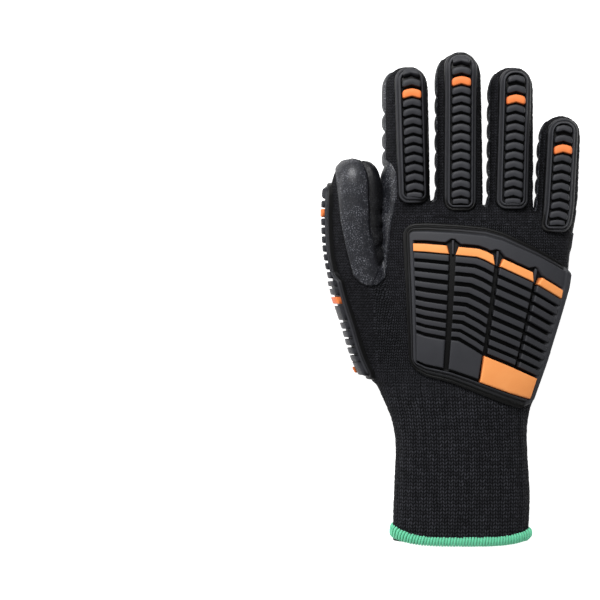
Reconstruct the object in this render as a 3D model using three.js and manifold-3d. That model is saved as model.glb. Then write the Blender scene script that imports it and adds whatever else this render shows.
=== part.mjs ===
// Anti vibration work glove, right hand, lying palm down with the back of the hand up.
// Units are millimetres: +X towards the little finger, +Y towards the fingertips, +Z up.
import * as THREE from "three";
import { mergeVertices } from "three/addons/utils/BufferGeometryUtils.js";
import Module from "manifold-3d";

const wasm = await Module();
wasm.setup();

// Driving sizes
const glove_length = 264; // cuff edge to the tip of the middle finger
const palm_width = 104; // knitted hand across the knuckles
const palm_depth = 24; // knitted hand from palm to back
const finger_width = 23.4; // knitted middle finger
const finger_depth = 16.4; // knitted middle finger from pad to back
const thumb_width = 24.4; // knitted thumb
const thumb_depth = 22.5; // knitted thumb from palm side to back
const knit_wall = 1.8; // thickness of the knitted cloth
const cushion_depth = 4.9; // height of a palm cushion
const film_depth = 1.5; // rubber film between the cushions
const cushion_pitch = 9.85; // from one finger cushion to the next
const groove_width = 1.7; // gap between two cushions
const guard_width = 17.8; // moulded strip on a finger
const guard_rib_pitch = 5; // from one rib of a strip to the next
const guard_rib_length = 3.5; // size of a rib along the finger
const guard_floor = 2.2; // moulded base above the knit
const guard_rim = 3.9; // border of a moulded piece above the knit
const guard_rib = 5.5; // top of the ribs above the knit
const hem_width = 4; // green overlocked edge
const hem_depth = 1.5; // thickness of the overlocked thread
const gap = 0.3; // space between pieces that touch
const face_tolerance = 0.05; // facets flatter than this are merged

// Shape numbers
const back_roundness = 2.4; // power of the oval on the back of the hand
const palm_roundness = 3.1; // power of the oval on the palm
const finger_roundness = 2.3; // power of a finger's oval
const fingertip_length = 11; // rounded end of a finger
const hand_points = { outer: 24, inner: 16 };
const finger_points = { outer: 12, inner: 8 };

// Hand and cuff: along as a share of glove_length, edges of palm_width, heights of palm_depth above the cushions,
// slant is the rise of the section along the hand for each step towards the thumb
const hand_rows = [
  { along: 0, left: -0.346, right: 0.353, low: -0.117, high: 0.9, slant: 0 },
  { along: 0.091, left: -0.345, right: 0.355, low: -0.117, high: 0.9, slant: 0 },
  { along: 0.205, left: -0.331, right: 0.339, low: -0.095, high: 0.91, slant: 0 },
  { along: 0.258, left: -0.352, right: 0.347, low: -0.07, high: 0.92, slant: 0 },
  { along: 0.296, left: -0.405, right: 0.383, low: -0.04, high: 0.94, slant: 0 },
  { along: 0.337, left: -0.442, right: 0.424, low: 0, high: 0.96, slant: 0 },
  { along: 0.367, left: -0.445, right: 0.449, low: 0, high: 0.98, slant: 0 },
  { along: 0.417, left: -0.45, right: 0.488, low: 0, high: 1, slant: 0 },
  { along: 0.47, left: -0.46, right: 0.527, low: 0, high: 1, slant: 0 },
  { along: 0.53, left: -0.44, right: 0.552, low: 0, high: 0.98, slant: 0 },
  { along: 0.576, left: -0.405, right: 0.555, low: 0, high: 0.94, slant: 0 },
  { along: 0.636, left: -0.402, right: 0.575, low: 0, high: 0.86, slant: 0.04 },
  { along: 0.664, left: -0.395, right: 0.58, low: 0, high: 0.78, slant: 0.09 },
  { along: 0.68, left: -0.375, right: 0.575, low: 0.05, high: 0.7, slant: 0.11 },
];

// Fingers: places across as shares of palm_width, along as shares of glove_length, sizes of finger_width and
// finger_depth; guard shifts as shares of finger_width, rib_shift as a share of guard_rib_pitch
const fingers = [
  { name: "index", root_x: -0.275, tip_x: -0.278, root: 0.62, tip: 0.9725, width: 0.965, depth: 1,
    cushions: 5, coat_from: 0.69, guard_from: 0.69, guard_to: 0.968, rib_shift: 0.36, shift_root: 0.15, shift_tip: 0.07 },
  { name: "middle", root_x: -0.006, tip_x: -0.006, root: 0.62, tip: 1, width: 1, depth: 1,
    cushions: 6, coat_from: 0.687, guard_from: 0.674, guard_to: 1, rib_shift: -0.18, shift_root: 0, shift_tip: 0.02 },
  { name: "ring", root_x: 0.26, tip_x: 0.268, root: 0.62, tip: 0.9715, width: 0.985, depth: 1,
    cushions: 6, coat_from: 0.672, guard_from: 0.678, guard_to: 0.966, rib_shift: -0.3, shift_root: 0, shift_tip: 0.06 },
  { name: "little", root_x: 0.492, tip_x: 0.525, root: 0.6, tip: 0.872, width: 0.89, depth: 0.96,
    cushions: 4, coat_from: 0.671, guard_from: 0.631, guard_to: 0.865, rib_shift: -0.2, shift_root: 0, shift_tip: 0.02 },
];

// Thumb and thenar: across as a share of palm_width, along of glove_length, width of thumb_width,
// depth of thumb_depth
const thumb_rows = [
  { along: 0.32, across: -0.32, width: 1, depth: 0.74 },
  { along: 0.356, across: -0.365, width: 1.12, depth: 0.92 },
  { along: 0.394, across: -0.391, width: 1.19, depth: 0.98 },
  { along: 0.44, across: -0.425, width: 1.16, depth: 1.02 },
  { along: 0.492, across: -0.477, width: 1.11, depth: 1.03 },
  { along: 0.542, across: -0.518, width: 1.05, depth: 1.02 },
  { along: 0.587, across: -0.547, width: 1.015, depth: 1 },
  { along: 0.644, across: -0.558, width: 1, depth: 1 },
  { along: 0.697, across: -0.559, width: 0.98, depth: 0.98 },
  { along: 0.782, across: -0.556, width: 0.86, depth: 0.9 },
];
const thumb_root = 0.56 * glove_length; // where the thumb leaves the hand
const thumb_tip = 0.782; // share of glove_length
const thumbtip_length = 15; // rounded end of the thumb

// Palm cushions: ends across as shares of palm_width, their places along as shares of glove_length,
// size as a share of cushion_pitch
const palm_cushions = [
  { left: -0.316, right: -0.016, left_at: 0.6545, right_at: 0.6645, size: 0.995 },
  { left: 0.01, right: 0.274, left_at: 0.666, right_at: 0.651, size: 0.893 },
  { left: 0.304, right: 0.578, left_at: 0.6475, right_at: 0.642, size: 0.893 },
  { left: -0.333, right: -0.047, left_at: 0.6155, right_at: 0.6225, size: 0.995 },
  { left: -0.028, right: 0.215, left_at: 0.6195, right_at: 0.617, size: 0.944 },
  { left: 0.238, right: 0.465, left_at: 0.608, right_at: 0.607, size: 0.893 },
  { left: 0.491, right: 0.572, left_at: 0.604, right_at: 0.604, size: 0.782 },
  { left: -0.265, right: 0.23, left_at: 0.578, right_at: 0.571, size: 0.995 },
  { left: 0.248, right: 0.557, left_at: 0.565, right_at: 0.563, size: 0.944 },
  { left: -0.207, right: 0.024, left_at: 0.535, right_at: 0.535, size: 0.893 },
  { left: 0.055, right: 0.33, left_at: 0.53, right_at: 0.519, size: 0.944 },
  { left: 0.364, right: 0.546, left_at: 0.521, right_at: 0.521, size: 0.893 },
  { left: -0.165, right: 0.226, left_at: 0.494, right_at: 0.481, size: 0.995 },
  { left: 0.257, right: 0.516, left_at: 0.4765, right_at: 0.4765, size: 0.944 },
  { left: -0.147, right: 0.095, left_at: 0.449, right_at: 0.4405, size: 0.893 },
  { left: 0.114, right: 0.465, left_at: 0.4365, right_at: 0.432, size: 0.944 },
  { left: -0.136, right: 0.196, left_at: 0.4065, right_at: 0.388, size: 0.893 },
  { left: 0.217, right: 0.362, left_at: 0.385, right_at: 0.385, size: 0.832 },
  { left: -0.221, right: 0.186, left_at: 0.369, right_at: 0.348, size: 0.975 },
  { left: 0.212, right: 0.27, left_at: 0.3575, right_at: 0.3575, size: 0.447 },
  { left: -0.463, right: -0.233, left_at: 0.503, right_at: 0.5535, size: 0.853 },
  { left: -0.413, right: -0.214, left_at: 0.456, right_at: 0.508, size: 0.853 },
  { left: -0.363, right: -0.194, left_at: 0.423, right_at: 0.462, size: 0.853 },
  { left: -0.281, right: -0.191, left_at: 0.3875, right_at: 0.411, size: 0.751 },
];
// Edge of the palm's rubber film along the hand
const film_rows = [
  { along: 0.329, left: -0.24, right: 0.18 },
  { along: 0.345, left: -0.275, right: 0.25 },
  { along: 0.37, left: -0.325, right: 0.33 },
  { along: 0.405, left: -0.375, right: 0.42 },
  { along: 0.447, left: -0.45, right: 0.49 },
  { along: 0.5, left: -0.505, right: 0.53 },
  { along: 0.548, left: -0.53, right: 0.55 },
  { along: 0.572, left: -0.37, right: 0.56 },
  { along: 0.664, left: -0.36, right: 0.58 },
];
const round_end = [
  // share of the corner's length, share of its width that is left off
  [0, 0.66],
  [0.3, 0.25],
  [1, 0],
];

function lerp(from, to, share) {
  return from + (to - from) * share;
}

function row_value(rows, along, column) {
  const last = rows.length - 1;
  let index = 0;
  while (index < last - 1 && rows[index + 1].along < along) index += 1;
  const from = rows[index];
  const to = rows[index + 1];
  const share = Math.min(1, Math.max(0, (along - from.along) / (to.along - from.along)));
  return lerp(from[column], to[column], share);
}

function signed_power(value, power) {
  return Math.sign(value) * Math.abs(value) ** power;
}

function to_solid(points, faces) {
  const build = (order) => {
    const geometry = new THREE.BufferGeometry();
    geometry.setAttribute("position", new THREE.Float32BufferAttribute(points.flatMap((p) => [p.x, p.y, p.z]), 3));
    geometry.setIndex(order);
    const merged = mergeVertices(geometry, 1e-4);
    return new wasm.Manifold(
      new wasm.Mesh({
        numProp: 3,
        vertProperties: new Float32Array(merged.attributes.position.array),
        triVerts: new Uint32Array(merged.index.array),
      }),
    );
  };
  const made = build(faces);
  if (made.volume() > 0) return made;
  const turned = [];
  for (let k = 0; k < faces.length; k += 3) turned.push(faces[k], faces[k + 2], faces[k + 1]);
  return build(turned);
}

// A row of equal closed rings, each end filled from its middle
function tube(rings) {
  const count = rings[0].length;
  const points = rings.flat();
  const faces = [];
  for (let r = 0; r + 1 < rings.length; r += 1)
    for (let k = 0; k < count; k += 1) {
      const a = r * count + k;
      const b = r * count + ((k + 1) % count);
      faces.push(a, b, b + count, a, b + count, a + count);
    }
  for (const end of [0, rings.length - 1]) {
    const middle = new THREE.Vector3();
    for (const point of rings[end]) middle.addScaledVector(point, 1 / count);
    points.push(middle);
    for (let k = 0; k < count; k += 1) {
      const a = end * count + k;
      const b = end * count + ((k + 1) % count);
      if (end === 0) faces.push(points.length - 1, b, a);
      else faces.push(points.length - 1, a, b);
    }
  }
  return to_solid(points, faces);
}

// Two equal grids of points, one under the other, joined round their edge
function slab(lower, upper) {
  const rows = lower.length;
  const columns = lower[0].length;
  const points = [...lower.flat(), ...upper.flat()];
  const top = rows * columns;
  const faces = [];
  const quad = (a, b, c, d) => faces.push(a, b, c, a, c, d);
  for (let r = 0; r + 1 < rows; r += 1)
    for (let c = 0; c + 1 < columns; c += 1) {
      const a = r * columns + c;
      quad(top + a, top + a + 1, top + a + columns + 1, top + a + columns);
      quad(a, a + columns, a + columns + 1, a + 1);
    }
  for (let c = 0; c + 1 < columns; c += 1) {
    const far = (rows - 1) * columns + c;
    quad(c, c + 1, top + c + 1, top + c);
    quad(far + 1, far, top + far, top + far + 1);
  }
  for (let r = 0; r + 1 < rows; r += 1) {
    const a = r * columns;
    const right = a + columns - 1;
    quad(a + columns, a, top + a, top + a + columns);
    quad(right, right + columns, top + right + columns, top + right);
  }
  return to_solid(points, faces);
}

// A moulded piece on a surface: area names its edges and corners, surface(u, v, h) gives its points,
// rim is how far its outer edge lies below its top
function plank(surface, area, low, high, across, { bend = () => 0, rim = 0 } = {}) {
  const corner = area.corner_v ?? 0;
  const cut = area.corner_u ?? 0;
  const stations = [];
  if (corner > 0) {
    for (const [share, off] of round_end) stations.push([area.near + corner * share, cut * off]);
    const steps = area.steps ?? 1;
    for (let k = 1; k < steps; k += 1)
      stations.push([lerp(area.near + corner, area.far - corner, k / steps), 0]);
    for (const [share, off] of [...round_end].reverse()) stations.push([area.far - corner * share, cut * off]);
  } else {
    const steps = area.steps ?? 1;
    for (let k = 0; k <= steps; k += 1) stations.push([lerp(area.near, area.far, k / steps), 0]);
  }
  const spread = area.spread ?? (() => 1);
  const grid = (height, drop) =>
    stations.map(([v, off], r) => {
      const row = [];
      for (let k = 0; k <= across; k += 1) {
        const u = lerp(area.left + off, area.right - off, k / across) * spread(v);
        const edge = k === 0 || k === across || r === 0 || r === stations.length - 1;
        row.push(surface(u, v + bend(k / across), edge ? height - drop : height));
      }
      return row;
    });
  return slab(grid(low, 0), grid(high, rim));
}

function join(solids) {
  return solids.reduce((sum, solid) => sum.add(solid));
}

function largest_body(solid) {
  return solid.decompose().reduce((best, body) => (body.volume() > best.volume() ? body : best));
}

// Hand and cuff
const rest_height = cushion_depth;

function hand_section(y) {
  const along = y / glove_length;
  const left = row_value(hand_rows, along, "left") * palm_width;
  const right = row_value(hand_rows, along, "right") * palm_width;
  const low = rest_height + row_value(hand_rows, along, "low") * palm_depth;
  const high = rest_height + row_value(hand_rows, along, "high") * palm_depth;
  return {
    x: (left + right) / 2,
    z: (low + high) / 2,
    half_width: (right - left) / 2,
    half_depth: (high - low) / 2,
    slant: row_value(hand_rows, along, "slant"),
  };
}

function oval_point(section, turn, height, top_power, low_power) {
  const power = 2 / (Math.cos(turn) > 0 ? top_power : low_power);
  return {
    x: (section.half_width + height) * signed_power(Math.sin(turn), power),
    z: (section.half_depth + height) * signed_power(Math.cos(turn), power),
  };
}

// turn is zero on the back, a quarter turn on the little finger's side, a half turn on the palm
function hand_point(turn, y, height) {
  const section = hand_section(y);
  const point = oval_point(section, turn, height, back_roundness, palm_roundness);
  return new THREE.Vector3(section.x + point.x, y - section.slant * point.x, section.z + point.z);
}

function back_point(x, y, height) {
  const section = hand_section(y);
  const share = Math.min(0.985, Math.max(-0.985, (x - section.x) / section.half_width));
  return hand_point(Math.asin(signed_power(share, back_roundness / 2)), y, height);
}

function palm_point(x, y, height) {
  const section = hand_section(y);
  const share = Math.min(0.985, Math.max(-0.985, (x - section.x) / section.half_width));
  const point = hand_point(Math.PI - Math.asin(signed_power(share, palm_roundness / 2)), y, height);
  point.y = y;
  point.z = Math.max(0, point.z);
  return point;
}

// The palm side of hand and thumb together, at a place seen from below
function under_point(x, y, height) {
  const palm = palm_point(x, y, height);
  const thumb = thumb_section(y);
  const share = (x - thumb.x) / thumb.half_width;
  if (y > thumb_root || Math.abs(share) > 0.96) return palm;
  const hand = hand_section(y);
  const outside = Math.abs((x - hand.x) / hand.half_width) > 0.96;
  const point = thumb_point(Math.PI - Math.asin(signed_power(share, finger_roundness / 2)), y, height);
  point.z = Math.max(0, point.z);
  return outside || point.z < palm.z ? point : palm;
}

function full_turn(count, point_at) {
  return Array.from({ length: count }, (_, k) => point_at((k / count) * 2 * Math.PI));
}

function hand_tube(height, side) {
  return tube(
    hand_rows.map((row, r) => {
      const y = row.along * glove_length + (r === hand_rows.length - 1 ? height : 0);
      return full_turn(hand_points[side], (turn) => hand_point(turn, y, height));
    }),
  );
}

// Fingers
function finger_section(finger, y, height = 0) {
  const root = finger.root * glove_length;
  const tip = finger.tip * glove_length + height;
  const share = (y - root) / (tip - root);
  const rounded = Math.min(1, Math.max(0, (y - (tip - fingertip_length)) / fingertip_length));
  const round = Math.sqrt(Math.max(0, 1 - rounded * rounded));
  return {
    x: lerp(finger.root_x, finger.tip_x, share) * palm_width,
    z: rest_height + finger_depth / 2,
    half_width: ((finger.width * finger_width) / 2 + height) * round,
    half_depth: ((finger.depth * finger_depth) / 2 + height) * round,
  };
}

function finger_point(finger, turn, y, height) {
  const section = finger_section(finger, y, height);
  const point = oval_point(section, turn, 0, finger_roundness, finger_roundness);
  return new THREE.Vector3(section.x + point.x, y, section.z + point.z);
}

function tip_stations(root, tip, rounding) {
  const stations = [root, tip - rounding];
  for (const share of [0.45, 0.77, 0.95]) stations.push(tip - rounding * (1 - share));
  return stations;
}

function finger_tube(finger, height, side) {
  const stations = tip_stations(finger.root * glove_length, finger.tip * glove_length + height, fingertip_length);
  return tube(
    stations.map((y) => full_turn(finger_points[side], (turn) => finger_point(finger, turn, y, height))),
  );
}

// Thumb
function thumb_section(y, height = 0) {
  const tip = thumb_tip * glove_length + height;
  const along = y / glove_length;
  const rounded = Math.min(1, Math.max(0, (y - (tip - thumbtip_length)) / thumbtip_length));
  const round = Math.sqrt(Math.max(0, 1 - rounded * rounded));
  return {
    x: row_value(thumb_rows, along, "across") * palm_width,
    z: rest_height + thumb_depth / 2,
    half_width: ((row_value(thumb_rows, along, "width") * thumb_width) / 2 + height) * round,
    half_depth: ((row_value(thumb_rows, along, "depth") * thumb_depth) / 2 + height) * round,
  };
}

function thumb_point(turn, y, height) {
  const section = thumb_section(y, height);
  const point = oval_point(section, turn, 0, finger_roundness, finger_roundness);
  return new THREE.Vector3(section.x + point.x, y, section.z + point.z);
}

function thumb_tube(height, side) {
  const tip = thumb_tip * glove_length + height;
  const stations = thumb_rows.map((row) => row.along * glove_length).filter((y) => y < tip - thumbtip_length - 3);
  for (const share of [0, 0.45, 0.77, 0.95]) stations.push(tip - thumbtip_length * (1 - share));
  return tube(
    stations.map((y) => full_turn(finger_points[side], (turn) => thumb_point(turn, y, height))),
  );
}

// Knitted liner: everything that is knitted in one piece, less its hollow
function glove_body(height, side) {
  const tubes = fingers.map((finger) => finger_tube(finger, height, side));
  return join([hand_tube(height, side), ...tubes, thumb_tube(height, side)]);
}

function mouth_ring(y) {
  return full_turn(hand_points.inner, (turn) => hand_point(turn, 0, -knit_wall).setY(y));
}

const hollow = glove_body(-knit_wall, "inner").add(tube([mouth_ring(-palm_depth), mouth_ring(knit_wall)]));
const knit_liner = largest_body(glove_body(0, "outer").subtract(hollow));
const around_knit = glove_body(gap, "outer");

function on_knit(solid) {
  return largest_body(solid.subtract(around_knit));
}

// Green hem: an overlocked edge round the mouth, its section an angle that covers the cut edge
function make_hem() {
  const section = [
    [hem_width, gap],
    [-gap, gap],
    [-gap, -knit_wall],
    [-gap - hem_depth, -knit_wall],
    [-gap - hem_depth, gap + hem_depth * 0.85],
    [hem_width * 0.8, gap + hem_depth],
  ];
  const points = [];
  const faces = [];
  const around = hand_points.outer;
  for (let k = 0; k < around; k += 1)
    for (const [y, height] of section)
      points.push(hand_point((k / around) * 2 * Math.PI, Math.max(0, y), height).setY(y));
  const count = section.length;
  for (let k = 0; k < around; k += 1)
    for (let c = 0; c < count; c += 1) {
      const next = ((k + 1) % around) * count;
      const a = k * count + c;
      const b = k * count + ((c + 1) % count);
      const d = next + c;
      const e = next + ((c + 1) % count);
      faces.push(a, b, e, a, e, d);
    }
  return to_solid(points, faces);
}

// Finger cushions: a row of equal cushions, then the long pad of the fingertip
const coat_turns = [
  { turn: 0.6, lift: 0 },
  { turn: 0.76, lift: 0.62 },
  { turn: 0.95, lift: 1 },
  { turn: 1.17, lift: 1 },
  { turn: 1.38, lift: 0.4 },
  { turn: 1.57, lift: 0 },
];

function cushion_stations(from, to, groove) {
  const edge = groove * 0.5;
  const shoulder = groove * 0.5 + 1.1;
  return [
    [from + edge, 0.1],
    [from + shoulder, 1],
    [to - shoulder, 1],
    [to - edge, 0.1],
  ];
}

// How far a finger may reach across before it meets its neighbours
function finger_room(finger, y) {
  const index = fingers.indexOf(finger);
  const middle = finger_section(finger, y).x;
  const halfway = (other) => (other ? (middle + finger_section(other, y).x) / 2 : null);
  return { left: halfway(fingers[index - 1]), right: halfway(fingers[index + 1]) };
}

function keep_in_room(point, finger) {
  const room = finger_room(finger, point.y);
  if (room.left !== null) point.x = Math.max(point.x, room.left + gap);
  if (room.right !== null) point.x = Math.min(point.x, room.right - gap);
  return point;
}

function make_finger_coat(finger) {
  const tip = finger.tip * glove_length - 3;
  const from = finger.coat_from * glove_length;
  const stations = [[from, 0.1]];
  for (let k = 0; k < finger.cushions; k += 1) {
    const start = from + k * cushion_pitch;
    stations.push(...cushion_stations(start, start + cushion_pitch, groove_width).slice(1));
    stations.push([start + cushion_pitch + groove_width / 2, 0.1]);
  }
  const pad = from + finger.cushions * cushion_pitch;
  stations.push([pad + 2, 1], [lerp(pad, tip, 0.72), 1], [tip - 2, 0.7], [tip, 0.1]);
  const grid = (height) =>
    stations.map(([y, rise]) =>
      coat_turns.map(({ turn, lift }) => {
        const h = height ?? film_depth + (cushion_depth - film_depth) * rise * lift;
        const point = finger_point(finger, turn * Math.PI, Math.min(y, finger.tip * glove_length - 1.5), h);
        point.y = y;
        point.z = Math.max(0, point.z);
        return keep_in_room(point, finger);
      }),
    );
  return on_knit(slab(grid(-0.9), grid()));
}

// Finger guards: a strip with a raised border and a row of ribs, one of them orange
function guard_surface(finger) {
  const from = finger.guard_from * glove_length;
  const to = finger.guard_to * glove_length;
  return (u, y, height) => {
    const section = finger_section(finger, y);
    const shift = lerp(finger.shift_root, finger.shift_tip, (y - from) / (to - from)) * finger_width;
    const share = Math.min(0.97, Math.abs((u + shift) / Math.max(section.half_width, 1)));
    const top = section.half_depth * (1 - share ** finger_roundness) ** (1 / finger_roundness);
    return new THREE.Vector3(section.x + shift + u, y, section.z + top + height);
  };
}

const rib_half = guard_width * 0.285;
const rib_drop = 1.3;

function rib_bend(share) {
  return -rib_drop * Math.abs(share * 2 - 1);
}

function make_finger_guard(finger) {
  const surface = guard_surface(finger);
  const near = finger.guard_from * glove_length;
  const far = finger.guard_to * glove_length;
  const half = guard_width / 2;
  const scale = finger.width;
  const base = plank(
    surface,
    { left: -half * scale, right: half * scale, near, far, corner_u: half * scale, corner_v: 7, steps: 2 },
    -1,
    guard_rim,
    4,
  );
  const inner = rib_half * scale + 0.6;
  const recess = plank(
    surface,
    { left: -inner, right: inner, near: near + 2.4, far: far - 2.4, corner_u: inner, corner_v: 4.5, steps: 2 },
    guard_floor,
    guard_rib + 4,
    2,
  );
  const ribs = [];
  const first = far - guard_rib_pitch * (1 - finger.rib_shift);
  const count = Math.floor((far - near - 1.6 * guard_rib_pitch) / guard_rib_pitch);
  for (let k = 0; k < count; k += 1) {
    if (k === 2) continue;
    const centre = first - k * guard_rib_pitch;
    const half_rib = rib_half * scale * (k === 0 ? 0.72 : 1);
    const area = {
      left: -half_rib,
      right: half_rib,
      near: centre - guard_rib_length / 2,
      far: centre + guard_rib_length / 2,
    };
    ribs.push(plank(surface, area, guard_floor - 0.6, guard_rib - (k === 0 ? 0.5 : 0), 2, { bend: rib_bend }));
  }
  return on_knit(base).subtract(recess).add(join(ribs));
}

function make_finger_accent(finger) {
  const centre = finger.guard_to * glove_length - guard_rib_pitch * (3 - finger.rib_shift);
  const half_rib = rib_half * finger.width;
  const area = {
    left: -half_rib,
    right: half_rib,
    near: centre - guard_rib_length / 2,
    far: centre + guard_rib_length / 2,
  };
  return plank(guard_surface(finger), area, guard_floor + gap, guard_rib + 0.2, 2, { bend: rib_bend });
}

// Back plate: s runs across from the thumb's side, t along from the wrist's side, both as shares
const plate_edges = [
  // across, then wrist edge and knuckle edge along the hand as shares of glove_length
  { along: 0, wrist: 0.359, knuckle: 0.649 },
  { along: 0.15, wrist: 0.339, knuckle: 0.651 },
  { along: 0.35, wrist: 0.327, knuckle: 0.645 },
  { along: 0.5, wrist: 0.313, knuckle: 0.636 },
  { along: 0.6, wrist: 0.303, knuckle: 0.624 },
  { along: 0.8, wrist: 0.285, knuckle: 0.589 },
  { along: 1, wrist: 0.271, knuckle: 0.5515 },
];
// Sides of the plate as shares of palm_width, from the wrist edge to the knuckle edge
const plate_sides = [
  { along: 0, left: -0.266, right: 0.325 },
  { along: 0.3, left: -0.275, right: 0.405 },
  { along: 0.6, left: -0.285, right: 0.475 },
  { along: 0.85, left: -0.292, right: 0.533 },
  { along: 1, left: -0.297, right: 0.552 },
];
// The slats turn down past the middle finger: shift along as a share of the plate's length
const plate_knee = [
  { along: 0.08, shift: 0 },
  { along: 0.455, shift: 0.018 },
  { along: 0.543, shift: -0.02 },
  { along: 0.762, shift: -0.031 },
  { along: 0.96, shift: -0.066 },
];

function plate_surface(s, t, height) {
  const y = lerp(row_value(plate_edges, s, "wrist"), row_value(plate_edges, s, "knuckle"), t) * glove_length;
  const x = lerp(row_value(plate_sides, t, "left"), row_value(plate_sides, t, "right"), s) * palm_width;
  return back_point(x, y, height);
}

function slat_surface(s, t, height) {
  const fade = Math.min(1, Math.max(0, (t - 0.08) / 0.2));
  return plate_surface(s, t + row_value(plate_knee, s, "shift") * fade, height);
}

const columns = [
  { left: 0.085, right: 0.289 },
  { left: 0.327, right: 0.555 },
  { left: 0.585, right: 0.802 },
  { left: 0.827, right: 0.948 },
];
// Far edges of the slats as shares of the plate's length, and their sizes along
const slat_tops = [0.807, 0.745, 0.682, 0.617, 0.551, 0.489, 0.432, 0.373, 0.319];
const slat_size = 0.037;
const accent_range = { near: 0.815, far: 0.867 };
const block_range = { near: 0.085, far: 0.264 };
const tab_range = { near: 0.07, far: 0.262 };
const bed_area = { left: 0.07, right: 0.967, near: 0.055, far: 0.888 };

function make_back_plate() {
  const base = plank(
    plate_surface,
    { left: 0, right: 1, near: 0, far: 1, corner_u: 0.1, corner_v: 0.08, steps: 3 },
    -1,
    guard_rim,
    6,
    { rim: guard_rim - guard_floor },
  );
  const bed = plank(slat_surface, { ...bed_area, steps: 2 }, guard_floor, guard_rib + guard_rim, 6);
  const parts = [base.subtract(bed)];
  columns.forEach((column, index) => {
    const across = index === 1 ? 3 : 1;
    const bar = (near, far) =>
      parts.push(plank(slat_surface, { ...column, near, far }, 0, guard_rib, across));
    for (const far of slat_tops) bar(far - slat_size, far);
    if (index < 2) bar(block_range.near, block_range.far);
  });
  return on_knit(join(parts));
}

function make_knuckle_accent(column, index) {
  const area = { ...column, ...accent_range };
  return plank(slat_surface, area, guard_floor + gap, guard_rib + gap, index === 1 ? 3 : 1);
}

function make_plate_tab() {
  const area = { left: columns[2].left, right: columns[3].right, ...tab_range };
  return plank(slat_surface, area, guard_floor + gap, guard_rib + gap, 3);
}

// Thumb: a coat that leaves the outer side free, and the guard on that side
const thumb_coat_rows = [
  // along as a share of glove_length, edges of the coat as half turns from the back, rise of the cushions
  { along: 0.535, left: 0.2, right: 0.99, slant: 0.55 },
  { along: 0.565, left: 0.02, right: 0.96, slant: 0.5 },
  { along: 0.6, left: -0.12, right: 0.93, slant: 0.45 },
  { along: 0.655, left: -0.2, right: 0.91, slant: 0.38 },
  { along: 0.74, left: -0.28, right: 0.94, slant: 0 },
  { along: 0.77, left: -0.3, right: 0.97, slant: 0 },
];

function thumb_coat_slab(extra) {
  const tip = thumb_tip * glove_length - 2;
  const from = 0.545 * glove_length;
  const lifts = [0, 0, 0.05, 0.2, 0.8, 1, 0];
  const stations = [[from - extra, 0.1]];
  const segments = 3;
  for (let k = 0; k < segments; k += 1) {
    const start = from + k * cushion_pitch;
    stations.push(...cushion_stations(start, start + cushion_pitch, groove_width).slice(1));
    stations.push([start + cushion_pitch + groove_width / 2, 0.1 + extra / cushion_depth]);
  }
  const pad = from + segments * cushion_pitch;
  stations.push([pad + 2, 1], [tip - 8, 1], [tip - 2, 0.6], [tip, 0.1]);
  const grid = (height) =>
    stations.map(([y, rise]) => {
      const left = row_value(thumb_coat_rows, y / glove_length, "left");
      const right = row_value(thumb_coat_rows, y / glove_length, "right");
      return lifts.map((lift, k) => {
        const margin = (extra / thumb_width) * (k / 3 - 1);
        const turn = (lerp(left, right, k / (lifts.length - 1)) + margin) * Math.PI;
        const h = height ?? extra + film_depth + (cushion_depth - 0.6 - film_depth) * rise * lift;
        const rise_at = Math.min(1, Math.max(0, turn / Math.PI)) * row_value(thumb_coat_rows, y / glove_length, "slant");
        const at = y + rise_at * (thumb_point(turn, y, 0).x - thumb_section(y).x);
        const point = thumb_point(turn, Math.min(at, thumb_tip * glove_length - 0.8), h);
        point.y = at;
        point.z = Math.max(0, point.z);
        return point;
      });
    });
  return slab(grid(-0.9), grid());
}

function make_thumb_coat() {
  return on_knit(thumb_coat_slab(0));
}

const thumb_panel_to = 0.533; // where the wide panel at the thumb's root ends, as a share of glove_length
const thumb_guard_from = 0.332;
const thumb_guard_to = 0.735;
const thumb_guard_base = 3;
const thumb_bar_top = 4.9; // top of the thumb's bars above the knit
const thumb_turns = { panel: 1.49, upper: 1.43 }; // middle of the guard in half turns from the back
// Bars of the thumb's guard: places and sizes along as shares of glove_length
const panel_bars = [
  { along: 0.355, size: 0.0265, orange: false },
  { along: 0.375, size: 0.0125, orange: false },
  { along: 0.391, size: 0.0125, orange: false },
  { along: 0.4085, size: 0.0125, orange: false },
  { along: 0.425, size: 0.0125, orange: false },
  { along: 0.442, size: 0.0125, orange: false },
  { along: 0.468, size: 0.0288, orange: false },
  { along: 0.4936, size: 0.0136, orange: true },
  { along: 0.511, size: 0.0125, orange: false },
  { along: 0.5275, size: 0.0105, orange: false },
];
const upper_bars = { from: 0.545, pitch: 0.01815, count: 9, accent: 7, size: 0.0125, last: 0.71, last_size: 0.019 };
const thumb_half_turns = { base: 0.225, panel_bar: 0.2, upper_bar: 0.145 };

// How far a place along lies past the panel, from 0 on the panel to 1 on the upper part
function past_panel(y) {
  return Math.min(1, Math.max(0, (y - thumb_panel_to * glove_length) / guard_rib_pitch));
}

function thumb_surface(turn, y, height) {
  const centre = lerp(thumb_turns.panel, thumb_turns.upper, past_panel(y));
  return thumb_point((centre + turn) * Math.PI, y, height);
}

function thumb_area(y, size, half_turn) {
  return { left: -half_turn, right: half_turn, near: y - size / 2, far: y + size / 2 };
}

function upper_bar(k) {
  const size = (k === upper_bars.accent ? 1.1 : 1) * upper_bars.size;
  return { along: upper_bars.from + upper_bars.pitch * k, size };
}

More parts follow.
